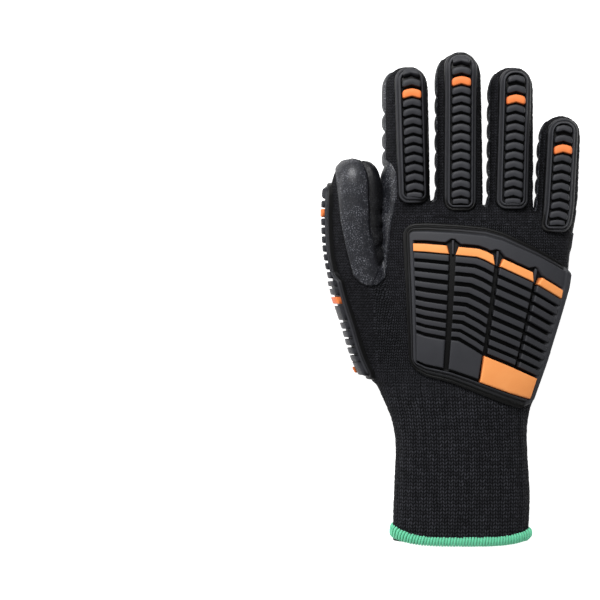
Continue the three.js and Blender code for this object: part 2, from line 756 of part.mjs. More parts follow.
function make_thumb_guard() {
  const { base: half_turn, panel_bar, upper_bar: upper_half } = thumb_half_turns;
  const base = plank(
    thumb_surface,
    {
      left: -half_turn,
      right: half_turn,
      near: thumb_guard_from * glove_length,
      far: thumb_guard_to * glove_length,
      corner_u: half_turn,
      corner_v: 7,
      steps: 5,
      spread: (y) => lerp(1.3, 1, past_panel(y)),
    },
    -1,
    thumb_guard_base,
    2,
    { rim: 1.2 },
  );
  const bars = [];
  const bar = ({ along, size }, half) => {
    const area = thumb_area(along * glove_length, size * glove_length, half);
    bars.push(plank(thumb_surface, area, guard_floor - 0.7, thumb_bar_top, 2));
  };
  for (const row of panel_bars) if (!row.orange) bar(row, panel_bar);
  for (let k = 0; k < upper_bars.count; k += 1) if (k !== upper_bars.accent) bar(upper_bar(k), upper_half);
  bar({ along: upper_bars.last, size: upper_bars.last_size }, upper_half);
  return on_knit(join([base, ...bars]));
}

// Orange bars of the thumb: one between the upper bars, one on the panel, and a chip on the lowest bar
function make_thumb_accent(index) {
  const lowest = panel_bars[0];
  const chip = { along: lowest.along, size: lowest.size * 0.4 };
  const row = [upper_bar(upper_bars.accent), panel_bars.find(({ orange }) => orange), chip][index];
  const half_turn = [thumb_half_turns.upper_bar, thumb_half_turns.panel_bar, thumb_half_turns.panel_bar / 2][index];
  const low = index === 2 ? thumb_bar_top + gap : thumb_guard_base + gap;
  const top = index === 2 ? thumb_bar_top + hem_depth : thumb_bar_top + gap;
  return plank(thumb_surface, thumb_area(row.along * glove_length, row.size * glove_length, half_turn), low, top, 2);
}

// Palm coat: film with rounded cushions, and the patch that runs up the side of the index finger's root
function make_cushion({ left, right, left_at, right_at, size }) {
  const from = left * palm_width;
  const to = right * palm_width;
  const half = (size * cushion_pitch) / 2;
  const length = to - from;
  const end = Math.min(half, length / 2.4);
  const stops = [
    [0, 0.45, -0.1],
    [end * 0.55, 1, 1],
    [length - end * 0.55, 1, 1],
    [length, 0.45, -0.1],
  ];
  const sides = [
    [-1, -0.1],
    [-0.7, 1],
    [0.7, 1],
    [1, -0.1],
  ];
  const grid = (deep) =>
    stops.map(([run, wide, rise]) => {
      const x = from + run;
      const y = lerp(left_at, right_at, run / length) * glove_length;
      return sides.map(([side, lift]) => {
        const height = deep ? -1.2 : film_depth + (cushion_depth + 0.4 - film_depth) * Math.min(rise, lift);
        return under_point(x, y + side * half * wide, height);
      });
    });
  return slab(grid(true), grid(false));
}

// Room that the palm leaves at the root of a finger for that finger's own coat
function coat_zone(finger) {
  const start = finger.coat_from * glove_length - gap;
  return tube(
    [start, start + cushion_pitch].map((y) =>
      full_turn(finger_points.outer, (turn) => finger_point(finger, turn, y, 2 * cushion_depth)),
    ),
  );
}

function make_palm_coat() {
  const stations = film_rows.map((row) => row.along * glove_length);
  const across = 6;
  const grid = (height) =>
    stations.map((y) => {
      const row = [];
      for (let k = 0; k <= across; k += 1) {
        const from = row_value(film_rows, y / glove_length, "left") * palm_width;
        const to = row_value(film_rows, y / glove_length, "right") * palm_width;
        row.push(under_point(lerp(from, to, k / across), y, height));
      }
      return row;
    });
  const film = slab(grid(-1), grid(film_depth));
  const web_rows = [0.575, 0.6, 0.64, 0.664];
  const web = (height) =>
    web_rows.map((along) => {
      const row = [];
      for (let k = 0; k <= 4; k += 1) {
        const point = hand_point(lerp(1.18, 1.68, k / 4) * Math.PI, along * glove_length, height);
        row.push(point.setY(along * glove_length));
      }
      return row;
    });
  const parts = [film, slab(web(-1), web(film_depth))];
  for (const cushion of palm_cushions) parts.push(make_cushion(cushion));
  return on_knit(join(parts).subtract(join([...fingers.map(coat_zone), thumb_coat_slab(2 * gap)])));
}

// Surface finishes
const knit_black = new THREE.MeshStandardMaterial({ color: 0x18181b, roughness: 0.95, metalness: 0 });
const coat_black = new THREE.MeshStandardMaterial({ color: 0x2d2e32, roughness: 0.42, metalness: 0 });
const guard_grey = new THREE.MeshStandardMaterial({ color: 0x37393e, roughness: 0.55, metalness: 0 });
const guard_orange = new THREE.MeshStandardMaterial({ color: 0xff9650, roughness: 0.5, metalness: 0 });
const hem_green = new THREE.MeshStandardMaterial({ color: 0x5fc896, roughness: 0.9, metalness: 0 });

const glove = new THREE.Group();

function add_node(name, solid, material) {
  const mesh = solid.asOriginal().simplify(face_tolerance).getMesh();
  const geometry = new THREE.BufferGeometry();
  geometry.setAttribute("position", new THREE.Float32BufferAttribute(mesh.vertProperties, 3));
  geometry.setIndex(new THREE.Uint32BufferAttribute(mesh.triVerts, 1));
  const node = new THREE.Mesh(geometry, material);
  node.name = name;
  glove.add(node);
}

add_node("knit_liner", knit_liner, knit_black);
add_node("cuff_hem", make_hem(), hem_green);
add_node("palm_coat", make_palm_coat(), coat_black);
for (const finger of fingers) {
  add_node(finger.name + "_coat", make_finger_coat(finger), coat_black);
  add_node(finger.name + "_guard", make_finger_guard(finger), guard_grey);
  add_node(finger.name + "_accent", make_finger_accent(finger), guard_orange);
}
add_node("thumb_coat", make_thumb_coat(), coat_black);
add_node("thumb_guard", make_thumb_guard(), guard_grey);
for (let k = 0; k < 3; k += 1) add_node("thumb_accent_" + (k + 1), make_thumb_accent(k), guard_orange);
add_node("back_plate", make_back_plate(), guard_grey);
columns.forEach((column, k) => add_node("knuckle_accent_" + (k + 1), make_knuckle_accent(column, k), guard_orange));
add_node("plate_tab", make_plate_tab(), guard_orange);

// The origin lies under the middle of the glove, on the surface that it rests on
const bounds = new THREE.Box3().setFromObject(glove);
const middle = bounds.getCenter(new THREE.Vector3());
glove.position.set(-middle.x, -middle.y, -bounds.min.z);

export default glove;
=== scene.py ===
# %% [markdown]
# # Anti vibration glove
# A right-hand glove lies palm down. A seamless knitted liner carries a dipped foam rubber palm that is moulded
# into cushions, and thermoplastic rubber guards with ribs on the back, the fingers and the thumb.
# The order here is: measures, knitted liner, dipped coat, guards, back plate, hem, materials, light and camera.

import math

import bmesh
import bpy
import numpy as np
from mathutils.bvhtree import BVHTree
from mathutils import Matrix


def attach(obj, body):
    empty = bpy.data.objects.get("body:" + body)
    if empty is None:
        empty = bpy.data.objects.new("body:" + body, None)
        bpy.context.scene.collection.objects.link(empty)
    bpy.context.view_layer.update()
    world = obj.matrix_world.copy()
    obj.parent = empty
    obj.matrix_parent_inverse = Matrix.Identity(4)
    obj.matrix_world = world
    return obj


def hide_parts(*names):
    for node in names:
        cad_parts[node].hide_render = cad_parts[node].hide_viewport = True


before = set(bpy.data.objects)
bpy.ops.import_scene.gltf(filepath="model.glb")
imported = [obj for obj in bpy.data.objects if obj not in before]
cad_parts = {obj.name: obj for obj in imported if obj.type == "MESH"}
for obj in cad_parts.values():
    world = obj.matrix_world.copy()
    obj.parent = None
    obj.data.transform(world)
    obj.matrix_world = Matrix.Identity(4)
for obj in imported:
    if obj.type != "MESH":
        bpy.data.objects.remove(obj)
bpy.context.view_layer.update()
draws = np.random.default_rng(7)

# %% [markdown]
# ## Measures
# All shapes are worked out in millimetres from the cuff's edge, as on a pattern: x across the hand, y along it,
# z up from the table. `new_object` then puts them into the frame, whose origin lies under the middle of the glove.

# %% Measures
GLOVE_LENGTH = 264.0
PALM_WIDTH = 104.0
PALM_DEPTH = 24.0
FINGER_WIDTH = 23.4
FINGER_DEPTH = 16.4
THUMB_WIDTH = 24.4
THUMB_DEPTH = 22.5
KNIT_WALL = 1.8
CUSHION_DEPTH = 4.9
FILM_DEPTH = 1.5
CUSHION_PITCH = 9.85
GUARD_WIDTH = 17.8
GUARD_PITCH = 5.0
BACK_ROUND = 2.4
PALM_ROUND = 3.1
FINGER_ROUND = 2.3
SKIN_LIFT = 0.25  # the liner's outer face stands this far outside the outline of the tables
ROOTED = -0.7  # coats and guards begin this deep in the knit
LITTLE_LEAN = 2.3  # the little finger's root leans this far inwards
LEAN_REACH = 24.0
MIDDLE = np.array([4.8125, -131.1, 0.0])
PALM, INDEX, LITTLE, THUMB = 0, 1, 4, 5  # numbers of the glove's tubes and coats; the fingers run from 1 to 4

hand_rows = [
    {"along": 0, "left": -0.346, "right": 0.353, "low": -0.117, "high": 0.9},
    {"along": 0.091, "left": -0.342, "right": 0.36, "low": -0.117, "high": 0.9},
    {"along": 0.205, "left": -0.328, "right": 0.344, "low": -0.095, "high": 0.91},
    {"along": 0.258, "left": -0.352, "right": 0.347, "low": -0.07, "high": 0.92},
    {"along": 0.296, "left": -0.405, "right": 0.383, "low": -0.04, "high": 0.94},
    {"along": 0.337, "left": -0.452, "right": 0.424, "low": 0, "high": 0.96},
    {"along": 0.367, "left": -0.445, "right": 0.449, "low": 0, "high": 0.98},
    {"along": 0.417, "left": -0.45, "right": 0.488, "low": 0, "high": 1},
    {"along": 0.47, "left": -0.46, "right": 0.527, "low": 0, "high": 1},
    {"along": 0.53, "left": -0.44, "right": 0.552, "low": 0, "high": 0.98},
    {"along": 0.576, "left": -0.41, "right": 0.555, "low": 0, "high": 0.94},
    {"along": 0.636, "left": -0.406, "right": 0.566, "low": 0, "high": 0.86},
    {"along": 0.664, "left": -0.398, "right": 0.56, "low": 0, "high": 0.78},
    {"along": 0.68, "left": -0.375, "right": 0.552, "low": 0.05, "high": 0.7},
]
fingers = [
    {"name": "index", "root_x": -0.275, "tip_x": -0.278, "root": 0.62, "tip": 0.9725, "width": 0.965, "depth": 1,
     "cushions": 5, "coat_from": 0.69, "guard_from": 0.69, "guard_to": 0.969, "shift_root": 0.15, "shift_tip": 0.07},
    {"name": "middle", "root_x": -0.006, "tip_x": -0.006, "root": 0.62, "tip": 1, "width": 1, "depth": 1,
     "cushions": 6, "coat_from": 0.687, "guard_from": 0.674, "guard_to": 1, "shift_root": 0, "shift_tip": 0.02},
    {"name": "ring", "root_x": 0.26, "tip_x": 0.268, "root": 0.62, "tip": 0.9715, "width": 0.985, "depth": 1,
     "cushions": 6, "coat_from": 0.672, "guard_from": 0.678, "guard_to": 0.967, "shift_root": 0, "shift_tip": 0.06},
    {"name": "little", "root_x": 0.492, "tip_x": 0.525, "root": 0.6, "tip": 0.872, "width": 0.9, "depth": 0.96,
     "cushions": 4, "coat_from": 0.671, "guard_from": 0.631, "guard_to": 0.864, "shift_root": 0, "shift_tip": 0.02},
]
thumb_rows = [
    {"along": 0.32, "across": -0.32, "width": 1, "depth": 0.74},
    {"along": 0.356, "across": -0.365, "width": 1.12, "depth": 0.92},
    {"along": 0.394, "across": -0.391, "width": 1.19, "depth": 0.98},
    {"along": 0.44, "across": -0.425, "width": 1.16, "depth": 1.02},
    {"along": 0.492, "across": -0.477, "width": 1.11, "depth": 1.03},
    {"along": 0.542, "across": -0.518, "width": 1.05, "depth": 1.02},
    {"along": 0.587, "across": -0.547, "width": 1.015, "depth": 1},
    {"along": 0.644, "across": -0.558, "width": 1, "depth": 1},
    {"along": 0.697, "across": -0.559, "width": 0.98, "depth": 0.98},
    {"along": 0.782, "across": -0.556, "width": 0.86, "depth": 0.9},
]
THUMB_TIP = 0.784 * GLOVE_LENGTH
FINGERTIP = 11.0
THUMBTIP = 15.0


def lerp(a, b, t):
    return a + (b - a) * t


def smoothstep(low, high, value):
    t = np.clip((value - low) / (high - low), 0, 1)
    return t * t * (3 - 2 * t)


def spow(value, power):
    return np.sign(value) * np.abs(value) ** power


def column(rows, name):
    return np.array([row[name] for row in rows])


def follow(value, pairs):
    """Reads a short table of (where, how much) pairs, straight between its rows."""
    where, much = zip(*pairs)
    return np.interp(value, where, much)


line_at = np.arange(-60.0, GLOVE_LENGTH + 60.0, 1.0)


def fair_line(rows, name, scale, softness=5.0):
    """A table's column as a soft curve along the hand, sampled each millimetre."""
    line = np.interp(line_at, column(rows, "along") * GLOVE_LENGTH, column(rows, name) * scale)
    reach = int(softness * 3)
    kernel = np.exp(-0.5 * (np.arange(-reach, reach + 1) / softness) ** 2)
    padded = np.pad(line, reach, mode="edge")
    return np.convolve(padded, kernel / kernel.sum(), mode="valid")


hand_left = fair_line(hand_rows, "left", PALM_WIDTH)
hand_right = fair_line(hand_rows, "right", PALM_WIDTH)
hand_low = fair_line(hand_rows, "low", PALM_DEPTH) + CUSHION_DEPTH
hand_high = fair_line(hand_rows, "high", PALM_DEPTH) + CUSHION_DEPTH
thumb_x = fair_line(thumb_rows, "across", PALM_WIDTH)
thumb_half_x = fair_line(thumb_rows, "width", THUMB_WIDTH / 2)
thumb_half_z = fair_line(thumb_rows, "depth", THUMB_DEPTH / 2)


def hand_section(y):
    left, right = np.interp(y, line_at, hand_left), np.interp(y, line_at, hand_right)
    low, high = np.interp(y, line_at, hand_low), np.interp(y, line_at, hand_high)
    return (left + right) / 2, (low + high) / 2, (right - left) / 2, (high - low) / 2


def round_end(y, tip, length):
    return np.sqrt(np.clip(1 - np.clip((y - (tip - length)) / length, 0, 1) ** 2, 0, 1))


def finger_section(f, y, height=0.0):
    root, tip = f["root"] * GLOVE_LENGTH, f["tip"] * GLOVE_LENGTH + height
    x = lerp(f["root_x"], f["tip_x"], (y - root) / (tip - root)) * PALM_WIDTH
    if f["name"] == "little":
        x = x - LITTLE_LEAN * smoothstep(root + LEAN_REACH, root, y)
    end = round_end(y, tip, FINGERTIP)
    half_x, half_z = f["width"] * FINGER_WIDTH / 2 + height, f["depth"] * FINGER_DEPTH / 2 + height
    return x, CUSHION_DEPTH + FINGER_DEPTH / 2, half_x * end, half_z * end


def thumb_section(y, height=0.0):
    end = round_end(y, THUMB_TIP + height, THUMBTIP)
    return (np.interp(y, line_at, thumb_x), CUSHION_DEPTH + THUMB_DEPTH / 2,
            (np.interp(y, line_at, thumb_half_x) + height) * end,
            (np.interp(y, line_at, thumb_half_z) + height) * end)


def oval(section, turn, height, top_power, low_power):
    x, z, half_x, half_z = section
    power = np.where(np.cos(turn) > 0, 2 / top_power, 2 / low_power)
    return x + (half_x + height) * spow(np.sin(turn), power), z + (half_z + height) * spow(np.cos(turn), power)


def hand_point(turn, y, height=0.0):
    x, z = oval(hand_section(y), turn, height, BACK_ROUND, PALM_ROUND)
    return np.stack([x, y + 0 * x, z], -1)


def back_point(x, y, height=0.0):
    mid, _, half, _ = hand_section(y)
    share = np.clip((x - mid) / half, -0.985, 0.985)
    return hand_point(np.arcsin(spow(share, BACK_ROUND / 2)), y, height)


def thumb_point(turn, y, height=0.0):
    x, z = oval(thumb_section(y, height), turn, 0.0, FINGER_ROUND, FINGER_ROUND)
    return np.stack([x, y + 0 * x, z], -1)


print("measures ready: hand", round(float(hand_right.max() - hand_left.min()), 1), "mm wide")

# %% [markdown]
# ## Meshes from grids
# Three helpers turn points into objects: `new_object` places millimetre points in the frame, `tube` closes a row
# of rings, and `evaluated` takes the plain mesh that a modifier stack gives and clears the stack.

# %% Mesh helpers
def new_object(name, points, faces, smooth=True):
    mesh = bpy.data.meshes.new(name)
    placed = (np.asarray(points, float).reshape(-1, 3) + MIDDLE) / 1000
    mesh.from_pydata(placed.tolist(), [], [list(map(int, f)) for f in faces])
    mesh.validate()
    mesh.update()
    if smooth:
        mesh.polygons.foreach_set("use_smooth", np.ones(len(mesh.polygons), bool))
    thing = bpy.data.objects.new(name, mesh)
    bpy.context.collection.objects.link(thing)
    return thing


def points_of(thing):
    """An object's vertices in millimetres from the cuff."""
    data = np.empty(len(thing.data.vertices) * 3, np.float32)
    thing.data.vertices.foreach_get("co", data)
    return data.reshape(-1, 3).astype(float) * 1000 - MIDDLE


def set_points(thing, points):
    placed = ((points + MIDDLE) / 1000).astype(np.float32)
    thing.data.vertices.foreach_set("co", placed.ravel())
    thing.data.update()


def normals_of(thing):
    data = np.empty(len(thing.data.vertices) * 3, np.float32)
    thing.data.vertices.foreach_get("normal", data)
    return data.reshape(-1, 3).astype(float)


def store_painted_light(thing):
    """Stores how flat each point lies, as painted light for the colour: 1 where it faces straight up or down and stays
    lit, 0 where it faces sideways and is painted in shade.
    """
    layer = thing.data.attributes.new("painted_light", "FLOAT", "POINT")
    layer.data.foreach_set("value", smoothstep(0.05, 0.85, np.abs(normals_of(thing)[:, 2])).astype(np.float32))


def evaluated(thing):
    """Replaces an object's mesh by what its modifiers make of it."""
    graph = bpy.context.evaluated_depsgraph_get()
    made = bpy.data.meshes.new_from_object(thing.evaluated_get(graph))
    thing.modifiers.clear()
    thing.data = made
    return thing


def remove(thing):
    bpy.data.objects.remove(thing, do_unlink=True)


def tube_faces(rings, count):
    """Quads between rings of `count` points and a fan at each end; the two fan centres follow the rings."""
    faces = []
    for r in range(rings - 1):
        for k in range(count):
            a, b = r * count + k, r * count + (k + 1) % count
            faces.append((a, a + count, b + count, b))
    first, last = rings * count, rings * count + 1
    for k in range(count):
        faces.append((first, k, (k + 1) % count))
        end = (rings - 1) * count
        faces.append((last, end + (k + 1) % count, end + k))
    return faces


def tube(rings):
    rings = np.asarray(rings)
    ends = np.stack([rings[0].mean(0), rings[-1].mean(0)])
    return np.concatenate([rings.reshape(-1, 3), ends]), tube_faces(len(rings), rings.shape[1])


def gather(parts):
    points, faces, start = [], [], 0
    for p, f in parts:
        points.append(p)
        faces += [tuple(i + start for i in face) for face in f]
        start += len(p)
    return np.concatenate(points), faces


def relax(thing, rounds, weight=0.5):
    """Evens out a surface: each point moves towards the mean of its neighbours."""
    points = points_of(thing)
    edges = np.empty(len(thing.data.edges) * 2, np.int64)
    thing.data.edges.foreach_get("vertices", edges)
    a, b = edges.reshape(-1, 2).T
    degree = np.bincount(a, minlength=len(points)) + np.bincount(b, minlength=len(points))
    for _ in range(rounds):
        total = np.zeros_like(points)
        for axis in range(3):
            total[:, axis] = np.bincount(a, points[b, axis], len(points))
            total[:, axis] += np.bincount(b, points[a, axis], len(points))
        moved = points + (total / degree[:, None] - points) * weight
        points = moved
    set_points(thing, points)


# %% [markdown]
# ## The knitted liner
# A machine knits cuff, hand, fingers and thumb in one piece, so the shape has no seam. Here each tube is lofted
# from the tables, and a voxel remesh melts them into one skin whose crotches are rounded by a few relaxing rounds.
# The cuff's rib is real relief. Stitches are far smaller than that, and come from the material.

# %% Liner skin
turns = np.linspace(0, 2 * math.pi, 96, endpoint=False)
finger_turns = np.linspace(0, 2 * math.pi, 56, endpoint=False)


def crotch_slant(x):
    """The front edge of the hand falls back towards the little finger."""
    return np.interp(x, [-45.0, -15.0, 13.0, 41.0, 60.0], [183.0, 181.5, 178.3, 175.0, 173.0])


def hand_loft(height):
    rows = np.concatenate([np.arange(-6.0, 150.0, 3.0), np.linspace(150.0, 178.0, 12)])
    rings = []
    for y in rows:
        ring = hand_point(turns, y, height)
        share = smoothstep(120.0, 178.0, y)
        ring[:, 1] += share * (crotch_slant(ring[:, 0]) - 180.0)
        rings.append(ring)
    last = rings[-1]
    centre = np.array([last[:, 0].mean(), 0, last[:, 2].mean()])
    for grow, step in ((0.93, 2.0), (0.8, 3.4), (0.6, 4.2)):
        ring = last.copy()
        ring[:, 2] = centre[2] + (last[:, 2] - centre[2]) * grow
        ring[:, 1] += step + min(height, 0.0)
        rings.append(ring)
    return tube(rings)


def finger_loft(section, root, tip, rounding, height):
    rows = np.concatenate([np.linspace(root, tip - rounding, 26),
                           tip + height - rounding + rounding * np.sin(np.linspace(0.12, 1.5, 14))])
    rings = []
    for y in rows:
        x, z = oval(section(y, height), finger_turns, 0.0, FINGER_ROUND, FINGER_ROUND)
        rings.append(np.stack([x, y + 0 * x, z], -1))
    return tube(rings)


def glove_skin(name, height, voxel):
    parts = [hand_loft(height)]
    for f in fingers:
        parts.append(finger_loft(lambda y, h, f=f: finger_section(f, y, h), f["root"] * GLOVE_LENGTH,
                                 f["tip"] * GLOVE_LENGTH, FINGERTIP, height))
    parts.append(finger_loft(thumb_section, 0.325 * GLOVE_LENGTH, THUMB_TIP, THUMBTIP, height))
    skin = new_object(name, *gather(parts))
    melt = skin.modifiers.new("melt", "REMESH")
    melt.mode = "VOXEL"
    melt.voxel_size = voxel / 1000
    evaluated(skin)
    return skin


VOXEL = 1.0
skin = glove_skin("skin", SKIN_LIFT, VOXEL)
relax(skin, 20)
print("liner skin:", len(skin.data.polygons), "faces")

# %% [markdown]
# Every point of the skin gets a place on the knitting machine's chart: which tube it belongs to, how far it lies
# round that tube and how far along. The same chart drives the rib relief, the dipped coat and the stitches.

# %% Chart of the knitting
CROTCH = 6.0
# (along, across) in millimetres: left of this line a stitch belongs to the thumb
thumb_border = [(80, -44), (110, -46), (140, -48), (150, -43.5)]


def chart(points):
    """tube: 0 hand, 1 to 4 fingers, 5 thumb. around and along in millimetres, turn in half turns from the back."""
    x, y, z = points.T
    tube_of = np.zeros(len(points), int)
    for k, f in enumerate(fingers, 1):
        mid = finger_section(f, y)[0]
        tube_of[(np.abs(x - mid) < FINGER_WIDTH * 0.62) & (y > crotch_slant(x) - CROTCH)] = k
    tube_of[(x < follow(y, thumb_border)) & (y > 82)] = THUMB
    turn = np.zeros(len(points))
    around = np.zeros(len(points))
    for k in range(6):
        here = tube_of == k
        if k == PALM:
            section = hand_section(y[here])
        elif k == THUMB:
            section = thumb_section(np.minimum(y[here], THUMB_TIP - THUMBTIP))
        else:
            f = fingers[k - 1]
            section = finger_section(f, np.minimum(y[here], f["tip"] * GLOVE_LENGTH - FINGERTIP))
        mid, height, half_x, half_z = section
        angle = np.arctan2((x[here] - mid) / half_x, (z[here] - height) / half_z)
        turn[here] = angle / math.pi
        # arc length of the flattened tube: flat over the middle, round at the sides
        flat = np.clip(np.abs(angle), 0, math.pi)
        side = half_x * 1.04 + half_z * 0.9
        off = np.abs(x[here] - mid) * 0.5 / half_x
        share = np.where(flat < math.pi / 2, off + flat / math.pi * 0.5, 1 - off + (flat / math.pi - 0.5) * 0.5)
        around[here] = np.sign(angle) * share * side
    return tube_of, turn, around, y


def rib_wave(around, pitch):
    """A rib as the machine knits it: broad rounded ridges with narrow furrows."""
    return np.abs(np.cos(math.pi * around / pitch)) ** 0.55 - 0.62


RIB_PITCH = 5.0
RIB_RELIEF = 0.4
points = points_of(skin)
tube_of, turn, around, along = chart(points)
ribbed = 1 - smoothstep(70.0, 98.0, along)
relief = RIB_RELIEF * ribbed * rib_wave(around, RIB_PITCH)
slack = np.zeros(len(points))
for scale, size in ((0.11, 0.28), (0.23, 0.14)):
    phase = draws.uniform(0, 6, 3)
    waves = np.sin(points * scale * np.array([1.0, 0.8, 1.3]) + phase)
    slack += size * waves[:, 0] * waves[:, 1] * waves[:, 2]
fuzz = draws.uniform(-0.16, 0.16, len(points))
skin_normals = normals_of(skin)
# the cloth stands fuller on the side of a finger away from its coat
fuller = follow(along, [(176, 0), (186, 1.2), (212, 0.9), (240, 0.35), (256, 0)])
fuller = fuller * (tube_of > PALM) * (tube_of < THUMB)
fuller = fuller * smoothstep(0.3, 0.9, skin_normals[:, 0]) * np.where(tube_of > 2, 0.5, 1.0)
knit_points = points + skin_normals * (relief + slack * (along < 150) + fuzz + fuller)[:, None]
print("rib relief from", round(float(relief.min()), 2), "to", round(float(relief.max()), 2), "mm")

# %% [markdown]
# The liner is the skin less its hollow. The hollow is the same set of tubes one cloth thickness further in, and
# runs out of the mouth, so that the cuff is open and the cloth has an inside.

# %% Liner with its hollow
def cuff_bow(x):
    """The ribbed edge draws in at its sides, so that its corners lie a little nearer the fingers."""
    return np.where(x < 0, 4.2, 3.4) * np.clip(np.abs(x) / 38.0, 0, 1) ** 4


cuff_shift = (cuff_bow(knit_points[:, 0]) * (1 - smoothstep(0.0, 22.0, knit_points[:, 1])))[:, None] * [0, 1, 0]
knit_points = knit_points + cuff_shift
liner = bpy.data.objects.new("knit_liner", skin.data.copy())
bpy.context.collection.objects.link(liner)
set_points(liner, knit_points)
hollow = glove_skin("hollow", -KNIT_WALL, 2.6)
relax(hollow, 3)
corners = np.array([[x, y, z] for x in (-90, 90) for y in (-40, 0.9) for z in (-30, 60)], float)
box_sides = [(0, 1, 3, 2), (4, 6, 7, 5), (0, 4, 5, 1), (2, 3, 7, 6), (0, 2, 6, 4), (1, 5, 7, 3)]
below = new_object("below", corners, box_sides)
for tool in (hollow, below):
    cut = liner.modifiers.new("cut", "BOOLEAN")
    cut.operation = "DIFFERENCE"
    cut.solver = "MANIFOLD"
    cut.object = tool
evaluated(liner)
remove(hollow)
remove(below)
liner.data.polygons.foreach_set("use_smooth", np.ones(len(liner.data.polygons), bool))


def write_chart(thing, name="chart"):
    """Stores the chart as the piece's own UV, in millimetres, with the seam's faces unrolled."""
    _, _, around, along = chart(points_of(thing))
    corners = np.empty(len(thing.data.loops), np.int64)
    thing.data.loops.foreach_get("vertex_index", corners)
    u, v = around[corners], along[corners]
    starts = np.empty(len(thing.data.polygons), np.int64)
    totals = np.empty(len(thing.data.polygons), np.int64)
    thing.data.polygons.foreach_get("loop_start", starts)
    thing.data.polygons.foreach_get("loop_total", totals)
    face = np.repeat(np.arange(len(starts)), totals)
    mean = np.bincount(face, u) / totals
    spread = np.maximum.reduceat(u, starts) - np.minimum.reduceat(u, starts)
    torn = spread[face] > 8
    u = np.where(torn, mean[face], u)
    layer = thing.data.uv_layers.new(name=name)
    layer.data.foreach_set("uv", np.stack([u, v], -1).astype(np.float32).ravel())


write_chart(liner)
store_painted_light(liner)
print("liner:", len(liner.data.polygons), "faces")

# %% [markdown]
# ## The dipped coat
# The liner is dipped in foam rubber, which a mould presses into cushions. The coat is a copy of the skin pushed
# out by a height field: a thin film, and on it a row of rounded cushions on each finger, lozenges on the palm and
# slanted ones on the thenar. Where the height falls below nothing the coat dives into the knit, which draws the
# clean wavy edge that a dip leaves.

# %% Height of the coat
palm_cushions = [
    # ends across as shares of the palm's width, their places along as shares of the glove's length, size in mm
    {"left": -0.316, "right": -0.016, "left_at": 0.6545, "right_at": 0.6645, "size": 9.8},
    {"left": 0.01, "right": 0.274, "left_at": 0.666, "right_at": 0.651, "size": 8.8},
    {"left": 0.304, "right": 0.578, "left_at": 0.6475, "right_at": 0.642, "size": 8.8},
    {"left": -0.333, "right": -0.047, "left_at": 0.6155, "right_at": 0.6225, "size": 9.8},
    {"left": -0.028, "right": 0.215, "left_at": 0.6195, "right_at": 0.617, "size": 9.3},
    {"left": 0.238, "right": 0.465, "left_at": 0.608, "right_at": 0.607, "size": 8.8},
    {"left": 0.491, "right": 0.572, "left_at": 0.604, "right_at": 0.604, "size": 7.7},
    {"left": -0.265, "right": 0.23, "left_at": 0.578, "right_at": 0.571, "size": 9.8},
    {"left": 0.248, "right": 0.557, "left_at": 0.565, "right_at": 0.563, "size": 9.3},
    {"left": -0.207, "right": 0.024, "left_at": 0.535, "right_at": 0.535, "size": 8.8},
    {"left": 0.055, "right": 0.33, "left_at": 0.53, "right_at": 0.519, "size": 9.3},
    {"left": 0.364, "right": 0.546, "left_at": 0.521, "right_at": 0.521, "size": 8.8},
    {"left": -0.165, "right": 0.226, "left_at": 0.494, "right_at": 0.481, "size": 9.8},
    {"left": 0.257, "right": 0.516, "left_at": 0.4765, "right_at": 0.4765, "size": 9.3},
    {"left": -0.147, "right": 0.095, "left_at": 0.449, "right_at": 0.4405, "size": 8.8},
    {"left": 0.114, "right": 0.465, "left_at": 0.4365, "right_at": 0.432, "size": 9.3},
    {"left": -0.136, "right": 0.196, "left_at": 0.4065, "right_at": 0.388, "size": 8.8},
    {"left": 0.217, "right": 0.362, "left_at": 0.385, "right_at": 0.385, "size": 8.2},
    {"left": -0.221, "right": 0.186, "left_at": 0.369, "right_at": 0.348, "size": 9.6},
    {"left": 0.212, "right": 0.27, "left_at": 0.3575, "right_at": 0.3575, "size": 4.4},
    {"left": -0.463, "right": -0.233, "left_at": 0.503, "right_at": 0.5535, "size": 8.4},
    {"left": -0.413, "right": -0.214, "left_at": 0.456, "right_at": 0.508, "size": 8.4},
    {"left": -0.363, "right": -0.194, "left_at": 0.423, "right_at": 0.462, "size": 8.4},
    {"left": -0.281, "right": -0.191, "left_at": 0.3875, "right_at": 0.411, "size": 7.4},
]
film_rows = [
    {"along": 0.329, "left": -0.21, "right": 0.17},
    {"along": 0.345, "left": -0.275, "right": 0.25},
    {"along": 0.37, "left": -0.325, "right": 0.33},
    {"along": 0.405, "left": -0.375, "right": 0.42},
    {"along": 0.447, "left": -0.45, "right": 0.56},
    {"along": 0.5, "left": -0.52, "right": 0.7},
    {"along": 0.548, "left": -0.535, "right": 0.7},
    {"along": 0.6, "left": -0.7, "right": 0.7},
]
THUMB_COAT_FROM = 0.545 * GLOVE_LENGTH
THUMB_CUSHIONS = 3
CUSHION_RISE = CUSHION_DEPTH - FILM_DEPTH
PALM_FILM = FILM_DEPTH * 0.8
NOWHERE = -3.0  # height and mask of places that no coat covers

# The web between thumb and hand is seen from the back as a U. Its sides are (along, across) in millimetres,
# its foot (across, along).
web_thumb_side = [(136, -57.3), (142.8, -57.7), (150, -59.6), (159, -61.9), (172, -64.5), (189, -66.2),
                  (200, -67), (209, -66)]
web_hand_side = [(136, -41), (143.3, -40.5), (154.6, -39.4), (172.2, -37.5), (188, -34), (198.6, -34.5),
                 (203.7, -37.2), (207, -41), (211, -47)]
web_foot = [(-63, 149), (-58, 143.5), (-54.5, 139.8), (-51.5, 138.2), (-48.5, 137.8), (-45, 138.6),
            (-42, 141), (-40, 144), (-37, 152)]
WEB_RIM = 9.0
palm_rim = [(-60, 12.5), (-44, 12.5), (30, 12), (60, 14.5)]  # (across, height) of the dip line at the palm's sides

